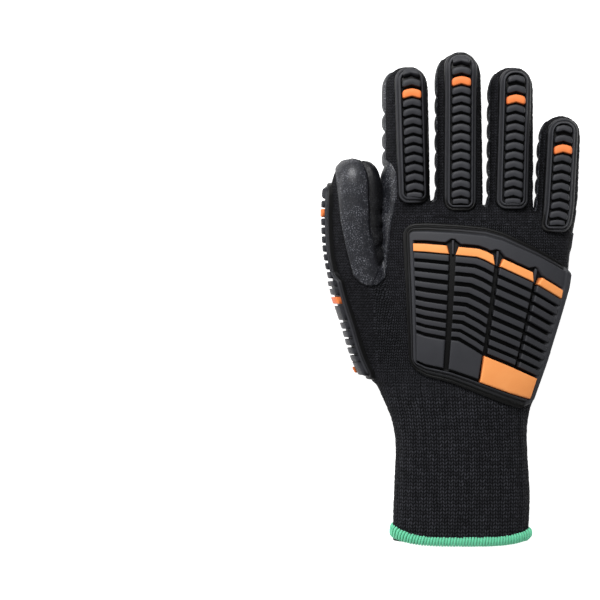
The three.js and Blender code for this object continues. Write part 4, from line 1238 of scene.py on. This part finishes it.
def thread_material():
    book = Book("hem")
    place = book.place()
    twist = book.noise(place * (1.0, 3.0, 1.0), 2.2, 3.0)
    colour = book.mix(twist, (0.068, 0.44, 0.245, 1), (0.19, 0.77, 0.46, 1))
    normal = book.bump(twist, 0.6, 0.15)
    book.set(Base_Color=colour, Roughness=0.8, Normal=normal, Sheen_Weight=0.25)
    return book.material


knit_finish = knit_material()
coat_finish = coat_material()
# dark and light tone of a moulding, painted shade of its sideways-facing sides, roughness, and how light the painted
# shade leaves its recesses
guard_finish = moulded_material("guard", (0.029, 0.0295, 0.034, 1), (0.039, 0.04, 0.046, 1),
                                (0.004, 0.004, 0.005, 1), 0.5, 0.03)
accent_finish = moulded_material("accent", (0.9, 0.31, 0.085, 1), (0.98, 0.4, 0.13, 1),
                                 (0.62, 0.085, 0.015, 1), 0.46, 0.6)
# painted shade: the small ribs on fingers and thumb get the plate's orange painted darker
shaded_small_accent_finish = moulded_material("small accent", (0.8, 0.2, 0.05, 1), (0.93, 0.27, 0.08, 1),
                                       (0.5, 0.06, 0.012, 1), 0.5, 0.6)
hem_finish = thread_material()


def dress(thing, material):
    thing.data.materials.clear()
    thing.data.materials.append(material)
    return thing


dress(liner, knit_finish)
for coat in coats.values():
    dress(coat, coat_finish)

def store_rise(thing):
    """Each point's height above the knit in millimetres, for the painted shade in recesses."""
    values = [knit_tree.find_nearest(tuple(p))[3] or 0.0 for p in points_of(thing)]
    layer = thing.data.attributes.new("rise", "FLOAT", "POINT")
    layer.data.foreach_set("value", np.array(values, np.float32))
    store_painted_light(thing)
    return thing


skin_now = points_of(skin)
knit_tree = BVHTree.FromPolygons([tuple(p) for p in skin_now], [tuple(f.vertices) for f in skin.data.polygons])

# %% [markdown]
# One rib is a bar bent like a roof tile: its fingertip edge is arched and its wrist edge an open V. It is swept
# from side to side with a rounded section, and thins out at both ends.

# %% Finger guards and their orange ribs
def bent_rib(half, size, tall, drop, stations=19):
    """A bar across x, its section rounded in y and z."""
    section = []
    for angle in np.linspace(0, math.pi, 11):
        c, s = math.cos(angle), math.sin(angle)
        section.append((spow(c, 0.34), max(spow(s, 0.34), 0)))
    section = np.array([(1.0, -0.1), *section, (-1.0, -0.1)], float)
    rings = []
    for t in np.linspace(-1, 1, stations):
        end = math.sqrt(max(0.0, 1 - abs(t) ** 9))
        x = half * t
        arch = -drop * abs(t) ** 1.5
        vee = -drop * 1.15 * abs(t)
        front, rear = size / 2 + arch, -size / 2 + vee - 0.1
        mid, reach = (front + rear) / 2, (front - rear) / 2 * (0.55 + 0.45 * end)
        ring = [(x, mid + reach * y, tall * z * (0.72 + 0.28 * end)) for y, z in section]
        rings.append(ring)
    return tube(rings)


RIB_HALF = GUARD_WIDTH * 0.285
rib_item = item("rib", *bent_rib(RIB_HALF, 3.5, 3.6, 1.35))


def path_frame(surface, u, v, height):
    """Points on a surface and its normals there."""
    here = surface(u, v, height)
    du = surface(u + 0.4, v, height) - surface(u - 0.4, v, height)
    dv = surface(u, v + 0.4, height) - surface(u, v - 0.4, height)
    normal = np.cross(du, dv)
    return here, normal / np.linalg.norm(normal, axis=-1, keepdims=True)


rib_shift = {"index": 0.13, "middle": -0.2, "ring": -0.42, "little": -0.3}
guards, accents = {}, {}
for f in fingers:
    name = f["name"] + "_guard"
    surface = guard_surface(f)
    near, far = f["guard_from"] * GLOVE_LENGTH, f["guard_to"] * GLOVE_LENGTH
    half = GUARD_WIDTH / 2 * (0.5 + 0.5 * f["width"])
    made = strip(surface, lambda v: np.full(np.shape(v), half), near, far, guard_profile,
                 61, 220, 5.5, half * 0.93)
    base = dress(new_object(name, *made), guard_finish)
    count = int((far - near - 1.6 * GUARD_PITCH) / GUARD_PITCH)
    first = far - GUARD_PITCH * (1 - rib_shift[f["name"]])
    bed = 1.4

    def ribs(start, number, tag):
        v = np.linspace(start, start - GUARD_PITCH * (number - 1), number)
        spots, upward = path_frame(surface, np.zeros(len(v)), v, np.full(len(v), bed))
        share = np.where(v > first, 0.9, 1.0) * f["width"] ** 0.5
        return repeated(tag, spots[::-1], upward[::-1], rib_item, number, guard_finish, share=share[::-1])

    tip_ribs = ribs(first + 0.5, 2, name + "_tip_ribs")
    low_ribs = ribs(first - 3 * GUARD_PITCH, count - 3, name + "_ribs")
    lens_points, lens_faces = bent_rib(RIB_HALF * 0.86 * f["width"] ** 0.5, 2.6, 2.6, 0.5)
    spots, upward = path_frame(surface, np.zeros(2), np.full(2, first - count * GUARD_PITCH + 0.5), np.full(2, bed))
    lens = dress(new_object(name + "_lens", spots[0] + lens_points, lens_faces), guard_finish)
    guards[name] = store_rise(join(name, [base, tip_ribs, low_ribs, lens]))
    v = np.array([first - 2 * GUARD_PITCH - 0.5, first - 2 * GUARD_PITCH + 0.5])
    spots, upward = path_frame(surface, np.zeros(2), v, np.full(2, bed + 0.3))
    spots, upward = spots.mean(0)[None], upward.mean(0)[None]
    rib_points, rib_faces = bent_rib(RIB_HALF * f["width"] ** 0.5, 4.1, 3.5, 1.25)
    side = np.array([1.0, 0, 0])
    up = upward[0] / np.linalg.norm(upward[0])
    ahead = np.cross(up, side)
    turned = rib_points[:, :1] * side + rib_points[:, 1:2] * ahead + rib_points[:, 2:] * up
    tag = f["name"] + "_accent"
    accents[tag] = store_rise(dress(new_object(tag, spots + turned, rib_faces), shaded_small_accent_finish))
    print(name, "with", count, "ribs")

# %% [markdown]
# ## Back plate
# The plate is a shield with a stepped border. Its bed is split into four columns of slats, each an orange slat at
# the knuckles, nine dark ones, and a smooth block or the bare orange panel at the wrist's end.

# %% Plate surface and its bars
plate_edges = [
    {"along": 0, "wrist": 0.359, "knuckle": 0.649},
    {"along": 0.15, "wrist": 0.339, "knuckle": 0.651},
    {"along": 0.35, "wrist": 0.327, "knuckle": 0.647},
    {"along": 0.5, "wrist": 0.313, "knuckle": 0.642},
    {"along": 0.6, "wrist": 0.303, "knuckle": 0.632},
    {"along": 0.8, "wrist": 0.285, "knuckle": 0.6},
    {"along": 1, "wrist": 0.271, "knuckle": 0.5615},
]
edge_s = np.array([r["along"] for r in plate_edges])
edge_wrist = np.array([r["wrist"] for r in plate_edges]) * GLOVE_LENGTH
edge_knuckle = np.array([r["knuckle"] for r in plate_edges]) * GLOVE_LENGTH


def plate_surface(s, t, h):
    y = lerp(np.interp(s, edge_s, edge_wrist), np.interp(s, edge_s, edge_knuckle), t)
    left = lerp(-0.266, -0.297, t)
    right = np.interp(t, [0, 0.1, 0.3, 0.6, 0.85, 1], [0.318, 0.345, 0.397, 0.466, 0.522, 0.54])
    return back_point(lerp(left, right, s) * PALM_WIDTH, y, h + 0.25)


def knee(s, t):
    """The slats turn down past the middle finger: a shift along the hand as a share of the plate's length."""
    # the bend lies nearer the thumb on the lower slats
    low = np.clip(0.84 - t, 0, 0.56)
    at_top, end = 0.455, 0.57
    bend = at_top - 0.13 * low
    beyond = np.where(s < end, at_top + (s - bend) / (end - bend) * (end - at_top), s)
    s = np.where(s < bend, s / bend * at_top, beyond)
    shift = np.interp(s, [0.08, 0.3, 0.34, 0.455, 0.555, 0.762, 0.887, 0.972],
                      [-0.005, -0.009, -0.012, -0.009, -0.034, -0.041, -0.053, -0.062])
    shift = shift + 0.036 * low * np.interp(s, [0.3, 0.455, 0.555], [0.4, 1, 0])
    return shift * np.clip((t - 0.08) / 0.2, 0, 1)


def field_surface(s, t, h):
    return plate_surface(s, t + knee(s, t), h)


columns = [
    {"left": 0.085, "right": 0.289},
    {"left": 0.327, "right": 0.555},
    {"left": 0.585, "right": 0.783},
    {"left": 0.81, "right": 0.956},
]
FIELD_TOP = 0.888
slat_tops = [0.807, 0.745, 0.682, 0.617, 0.551, 0.489, 0.432, 0.373, 0.319]


def bar(surface, left, right, near, far, low, top, radius=0.55, stations=13):
    """A bar on a surface from left to right, its top edges rounded by `radius` millimetres."""
    centre = surface(np.array([(left + right) / 2] * 2), np.array([near, far]), np.array([top, top]))
    per_mm_v = (far - near) / max(np.linalg.norm(centre[1] - centre[0]), 1e-6)
    ends = surface(np.array([left, right]), np.array([(near + far) / 2] * 2), np.array([top, top]))
    per_mm_u = (right - left) / max(np.linalg.norm(ends[1] - ends[0]), 1e-6)
    corner = np.linspace(0, math.pi / 2, 5)
    rise = [(0.0, low)] + [(radius * (1 - math.cos(c)), top - radius * (1 - math.sin(c))) for c in corner]
    section = [(near + d * per_mm_v, h) for d, h in rise] + [(far - d * per_mm_v, h) for d, h in reversed(rise)]
    run = [(left + radius * (1 - math.cos(c)) * per_mm_u, radius * (1 - math.sin(c))) for c in corner]
    run += [(u, 0.0) for u in np.linspace(run[-1][0], right - (run[-1][0] - left), stations)[1:-1]]
    run += [(right - (u - left), d) for u, d in reversed(run[:5])]
    rings = []
    for u, drop in run:
        v = np.array([p[0] for p in section])
        h = np.array([min(p[1], top - drop) if p[1] > low else low for p in section])
        rings.append(surface(np.full(len(v), u), v, h))
    return tube(rings)


def plate_base():
    """A grid over the shield, its height set by the distance to the outline in millimetres."""
    n = 230
    s = np.linspace(0, 1, n)
    t = np.linspace(0, 1, n)
    s = s - 0.045 * np.sin(2 * math.pi * s)
    t = t - 0.045 * np.sin(2 * math.pi * t)
    corner = 0.085
    ss, tt = np.meshgrid(s, t)
    cut = np.maximum(corner - np.minimum(tt, 1 - tt), 0)
    off = corner - np.sqrt(np.clip(corner ** 2 - cut ** 2, 0, None))
    width, depth = 84.0, 82.0
    inner = ss * (1 - 2 * off) + off
    du, dv = np.minimum(inner, (1 - inner) * 2.6) * width, np.minimum(tt, 1 - tt) * depth
    radius = corner * 83.0
    ku, kv = np.maximum(radius - du, 0), np.maximum(radius - dv, 0)
    distance = np.where((ku > 0) & (kv > 0), radius - np.hypot(ku, kv), np.minimum(du, dv))
    distance = np.maximum(distance, 0)
    profile = [(0, ROOTED), (0.15, 1.2), (0.5, 1.55), (1.4, 1.6), (1.6, 1.3), (1.85, 1.3), (2.1, 1.7),
               (2.75, 2.3), (3.3, 2.45), (3.6, 2.4), (3.8, 2.05), (4.05, 2.1), (4.5, 3.0), (4.95, 3.75),
               (5.3, 3.85), (50, 3.9)]
    height = follow(distance, profile)
    # the bed: its knuckle edge follows the slats, with a notch between two columns
    level = tt - knee(inner, tt)
    room = (FIELD_TOP - level) * depth
    for one, other in zip(columns, columns[1:]):
        gap_at = (one["right"] + other["left"]) / 2
        room = room + 2.2 * np.clip(1.25 - np.abs(inner - gap_at) / 0.034, 0, 1)
    bed = np.minimum.reduce([inner * width - 6.5, (1 - inner) * width - 3.4, room, tt * depth - 5.4])
    wall = np.interp((1 - inner) * width, [0, 0.25, 0.7, 1.4, 3.3, 3.8], [ROOTED, 2.6, 4.3, 4.9, 4.7, 1.5])
    side_wall = (inner > 0.9) & ((1 - inner) * width < 3.8)
    wall_share = smoothstep(0.992, 0.93, tt) * smoothstep(0.01, 0.08, tt)
    walled = np.maximum(wall, np.where(distance > 3.9, height, ROOTED))
    height = np.where(side_wall, lerp(height, walled, wall_share), height)
    height = np.where(bed > 0, np.interp(bed, [0, 0.3, 0.7], [3.7, 1.8, 1.5]), height)
    top = plate_surface(inner, tt, height)
    pick = np.linspace(0, n - 1, 12).round().astype(int)
    under = plate_surface(inner[:, pick], tt[:, pick], np.full((n, len(pick)), ROOTED))
    return np.concatenate([top.reshape(-1, 3), under.reshape(-1, 3)]), slab_faces(n, n, pick)


def slanted(left, right, near, far, cut_left, cut_right):
    """The plate's surface with a bar's ends drawn in towards the knuckles."""
    def surface(s, t, h):
        share = (s - left) / (right - left)
        rise = (t - near) / (far - near)
        return field_surface(s + rise * (cut_left * (1 - share) - cut_right * share), t, h)

    return surface


parts = [plate_base()]
for number, column in enumerate(columns):
    left, right = column["left"], column["right"]
    for k, far in enumerate(slat_tops):
        size = lerp(0.0405, 0.033, k / 8)
        parts.append(bar(field_surface, left, right, far - size, far, 0.9, 5.0, stations=23))
    if number < 2:
        parts.append(bar(field_surface, left, right, 0.085, 0.264, 0.9, 4.9, radius=0.9, stations=23))
for one, other in zip(columns, columns[1:]):
    gap_at = (one["right"] + other["left"]) / 2
    parts.append(bar(field_surface, gap_at - 0.007, gap_at + 0.007, 0.815, 0.905, 0.9, 3.4, radius=0.5, stations=5))
back_plate = store_rise(dress(new_object("back_plate", *gather(parts)), guard_finish))
for number, column in enumerate(columns, 1):
    left, right = column["left"], column["right"]
    near, far = 0.815, 0.867
    surface = slanted(left, right, near, far, 0 if number == 1 else 0.015, 0.005 if number == 4 else 0.015)
    made = bar(surface, left, right, near, far, 1.8, 5.3, radius=0.6, stations=23)
    name = f"knuckle_accent_{number}"
    accents[name] = store_rise(dress(new_object(name, *made), accent_finish))
made = bar(field_surface, 0.568, 0.955, 0.07, 0.262, 1.8, 5.2, radius=0.8, stations=31)
accents["plate_tab"] = store_rise(dress(new_object("plate_tab", *made), accent_finish))
print("plate:", len(back_plate.data.polygons), "faces")

# %% [markdown]
# ## Thumb guard
# One long moulding follows the outer side of the thumb down to the wrist. It widens into a panel at the thenar.

# %% Thumb guard
PANEL_END = 0.533 * GLOVE_LENGTH
THUMB_BARS = 9
THUMB_BARS_FROM, THUMB_BARS_STEP = 0.545, 0.01815  # shares of the glove's length
ORANGE_BAR = 7


def past_panel(v):
    return smoothstep(PANEL_END - 1, PANEL_END + 5, v)


def thumb_surface(u, v, h):
    """u in millimetres round the thumb from the guard's middle line, v along the hand."""
    half = np.interp(np.minimum(v, THUMB_TIP - THUMBTIP), line_at, thumb_half_x)
    turn = (lerp(1.485, 1.43, past_panel(v)) + u / (math.pi * half)) * math.pi
    return thumb_point(turn, v, h + SKIN_LIFT)


def thumb_width(v):
    return lerp(10.6, 8.2, past_panel(v)) - 1.4 * smoothstep(180, 194, v)


thumb_profile = [(0, ROOTED), (0.12, 1.6), (0.4, 2.2), (1.2, 2.35), (1.4, 2.05), (1.6, 2.05), (1.8, 2.5),
                 (2.2, 3.2), (2.6, 3.3), (2.9, 2.9), (3.2, 2.5), (20, 2.5)]
made = strip(thumb_surface, thumb_width, 0.332 * GLOVE_LENGTH, 0.7355 * GLOVE_LENGTH, thumb_profile,
             61, 300, 5.0, 7.6)
parts = [made]
panel_bars = [
    # place and size along as shares of the glove's length
    {"along": 0.355, "size": 0.0265},
    {"along": 0.375, "size": 0.0125},
    {"along": 0.391, "size": 0.0125},
    {"along": 0.4085, "size": 0.0125},
    {"along": 0.425, "size": 0.0125},
    {"along": 0.442, "size": 0.0125},
    {"along": 0.468, "size": 0.0288},
    {"along": 0.511, "size": 0.0125},
    {"along": 0.5275, "size": 0.0105},
]
panel_near, panel_far = 0.343 * GLOVE_LENGTH, 0.531 * GLOVE_LENGTH
parts.append(bar(thumb_surface, -8.0, 8.0, panel_near, panel_far, 0.8, 4.1, radius=1.0, stations=17))
for row in panel_bars:
    y, size = row["along"] * GLOVE_LENGTH, row["size"] * GLOVE_LENGTH
    parts.append(bar(thumb_surface, -8.2, 8.2, y - size / 2, y + size / 2, 0.8, 5.6, stations=17))
for k in range(THUMB_BARS):
    y = (THUMB_BARS_FROM + THUMB_BARS_STEP * k) * GLOVE_LENGTH
    if k != ORANGE_BAR:
        parts.append(bar(thumb_surface, -5.6, 5.6, y - 1.7, y + 1.7, 0.8, 4.8, stations=15))
parts.append(bar(thumb_surface, -4.6, 4.6, 185.2, 191.0, 0.8, 4.7, radius=1.7, stations=15))
guards["thumb_guard"] = store_rise(dress(new_object("thumb_guard", *gather(parts)), guard_finish))
thumb_accents = [
    # place as a share of the glove's length, then size, left, right, low and top in millimetres
    (THUMB_BARS_FROM + THUMB_BARS_STEP * ORANGE_BAR, 4.0, -5.6, 5.6, 2.4, 5.1),
    (0.4936, 3.7, -8.2, 8.2, 2.4, 5.9),
    (0.3515, 3.0, -6.5, 1.0, 5.3, 7.0),
]
for number, (along, size, left, right, low, top) in enumerate(thumb_accents, 1):
    y = along * GLOVE_LENGTH
    made = bar(thumb_surface, left, right, y - size / 2, y + size / 2, low, top, stations=15)
    name = f"thumb_accent_{number}"
    accents[name] = store_rise(dress(new_object(name, *made), shaded_small_accent_finish))

# %% [markdown]
# ## Overlocked hem
# An overlock machine wraps the cut edge of the cuff in green thread. Slanted stitches lie side by side round the
# edge, over a band that fills the gaps between them.

# %% Hem
def hem_point(turn, y, height):
    point = hand_point(turn, np.maximum(y, 0.0), height)
    point[..., 1] = y + cuff_bow(point[..., 0])
    point[..., 2] = np.maximum(point[..., 2], 0.05)
    return point


hem_turns = np.linspace(0, 2 * math.pi, 240, endpoint=False)
section = [(3.5, 0.2), (3.2, 0.8), (2.4, 1.25), (1.4, 1.4), (0.5, 1.2), (-0.35, 0.5), (-0.6, -0.5), (-0.3, -1.6),
           (0.7, -2.3), (2.6, -2.4), (3.6, -2.0), (3.6, -1.5), (1.2, -1.3), (0.8, -0.9), (0.8, -0.1)]
rings = np.stack([hem_point(hem_turns, y, h) for y, h in section], 1)
count = len(section)
faces = []
for k in range(len(hem_turns)):
    for c in range(count):
        a, b = k * count + c, k * count + (c + 1) % count
        d, e = ((k + 1) % len(hem_turns)) * count + c, ((k + 1) % len(hem_turns)) * count + (c + 1) % count
        faces.append((a, d, e, b))
band = new_object("hem_band", rings.reshape(-1, 3), faces)
check = bmesh.new()
check.from_mesh(band.data)
if check.calc_volume(signed=True) < 0:
    bmesh.ops.reverse_faces(check, faces=check.faces)
    check.to_mesh(band.data)
check.free()
dress(band, hem_finish)


def thread_loop():
    """One stitch: a thread from the top of the hem down round the edge, slanted to the side."""
    path = np.array([(0.7, 3.7, 0.45), (0.65, 3.4, 1.0), (0.5, 2.7, 1.6), (0.25, 1.5, 1.8), (0.1, 0.4, 1.6),
                     (0.0, -0.55, 0.8), (-0.05, -0.85, -0.5), (0.0, -0.4, -1.8), (0.2, 1.2, -2.6), (0.4, 3.2, -2.6)])
    smooth = np.stack([np.interp(np.linspace(0, 9, 25), np.arange(10), path[:, axis]) for axis in range(3)], -1)
    rings = []
    for k, p in enumerate(smooth):
        ahead = smooth[min(k + 1, 24)] - smooth[max(k - 1, 0)]
        ahead = ahead / np.linalg.norm(ahead)
        side = np.cross(ahead, (1.0, 0, 0))
        side = side / np.linalg.norm(side)
        other = np.cross(ahead, side)
        rings.append([p + 0.42 * (math.cos(a) * side + math.sin(a) * other * 1.5)
                      for a in np.linspace(0, 2 * math.pi, 7, endpoint=False)])
    return tube(rings)


loop_points, loop_faces = thread_loop()
path = hem_point(hem_turns, np.zeros(len(hem_turns)), 0.0)
steps = np.roll(path, -1, 0) - np.roll(path, 1, 0)
outward = np.cross(steps, (0.0, 1.0, 0.0))
outward /= np.linalg.norm(outward, axis=1, keepdims=True)
outward *= np.sign((outward * (path - path.mean(0))).sum(1))[:, None]
girth = np.linalg.norm(np.roll(path, -1, 0) - path, axis=1).sum()
STITCH_STEP = 1.55
stitch_count = int(girth / STITCH_STEP)
print("hem:", stitch_count, "stitches round", round(float(girth)), "mm")

# %% [markdown]
# The tree that repeats the ribs sews the hem too, on a closed path. It lays each copy's Y along the path, and a
# stitch runs across it, so the stitch is turned by a quarter before it is repeated.

# %% Stitches by the node tree
turned = np.stack([-loop_points[:, 1], loop_points[:, 0], loop_points[:, 2]], -1)
stitch_item = item("stitch_across", turned, loop_faces)
sewn = repeated("hem_stitches", path, outward, stitch_item, stitch_count, hem_finish, unevenness=0.05, closed=True)
hem = join("cuff_hem", [band, sewn])
hem_points = points_of(hem)
past = np.maximum(hem_points[:, 1] - cuff_bow(hem_points[:, 0]), 0)
corner = np.clip(np.abs(hem_points[:, 0]) / 38.0, 0, 1) ** 5
hem_points[:, 1] += past * np.where(hem_points[:, 0] < 0, 0.75, 0.2) * corner
hem_points[:, 2] = np.maximum(hem_points[:, 2], 0.02)
set_points(hem, hem_points)

# %% [markdown]
# ## Floor, light and camera
# The photograph is a product shot from straight above on white. A soft light stands beyond the fingertips, a
# weaker one on the thumb's side and a faint one at the wrist, and a bright sky fills the rest.

# %% Spare pieces removed, the rest attached
for spare in (skin, rib_item, stitch_item):
    remove(spare)
pieces = {"knit_liner": (liner, "knit"), "cuff_hem": (hem, "hem"), "back_plate": (back_plate, "guard")}
pieces.update({name: (thing, "coat") for name, thing in coats.items()})
pieces.update({name: (thing, "guard") for name, thing in guards.items()})
pieces.update({name: (thing, "accent") for name, thing in accents.items()})
for name, (thing, finish) in pieces.items():
    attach(thing, "root")
    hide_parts(name)
    finish == "coat"
total = 0
for name, (thing, _) in pieces.items():
    thing.data.calc_loop_triangles()
    total += len(thing.data.loop_triangles)
    print(name, len(thing.data.loop_triangles), "triangles")
print("total", total)

# %% Floor
floor_mesh = bpy.data.meshes.new("floor")
floor_mesh.from_pydata([(-3, -3, 0), (3, -3, 0), (3, 3, 0), (-3, 3, 0)], [], [(0, 1, 2, 3)])
floor = bpy.data.objects.new("floor", floor_mesh)
bpy.context.collection.objects.link(floor)
paper = Book("paper")
speck = paper.noise(paper.place(), 0.05, 2.0)
paper.set(Base_Color=paper.mix(speck, (0.86, 0.86, 0.865, 1), (0.9, 0.9, 0.9, 1)), Roughness=0.85,
          Emission_Color=(1, 1, 1, 1), Emission_Strength=0.85)
dress(floor, paper.material)

# %% Light
scene = bpy.context.scene
world = bpy.data.worlds.new("studio")
world.use_nodes = True
world.node_tree.nodes["Background"].inputs[0].default_value = (1.0, 1.0, 1.0, 1)
world.node_tree.nodes["Background"].inputs[1].default_value = 0.27
scene.world = world


def soft_light(name, place, aim, size, power):
    lamp = bpy.data.lights.new(name, "AREA")
    lamp.shape = "RECTANGLE"
    lamp.size, lamp.size_y = size
    lamp.energy = power
    thing = bpy.data.objects.new(name, lamp)
    thing.location = place
    direction = np.array(place) - np.array(aim)
    azimuth = math.atan2(direction[1], direction[0])
    tilt = math.acos(direction[2] / np.linalg.norm(direction))
    thing.rotation_euler = (0, tilt, azimuth)
    bpy.context.collection.objects.link(thing)
    return thing


soft_light("key", (-0.15, 0.7, 0.75), (0, 0.02, 0), (0.35, 0.35), 9.5)
soft_light("left", (-0.8, 0.3, 0.45), (0, 0, 0), (0.2, 0.7), 3.4)
soft_light("low", (0.1, -0.8, 0.6), (0, 0, 0), (0.9, 0.3), 1.0)

# %% [markdown]
# The camera looks straight down from 0.9 m, over a point on the thumb's side of the glove. So the glove stands to
# the right in the picture, and its thumb side shows a little more than its other side.

# %% Camera
camera = bpy.data.cameras.new("camera")
camera.lens = 98.3
camera.sensor_width = 36
camera.clip_end = 20
eye = bpy.data.objects.new("camera", camera)
eye.location = (-0.08165, -0.0006, 0.9)
bpy.context.collection.objects.link(eye)
scene.camera = eye
scene.view_settings.view_transform = "Standard"
scene.view_settings.look = "None"
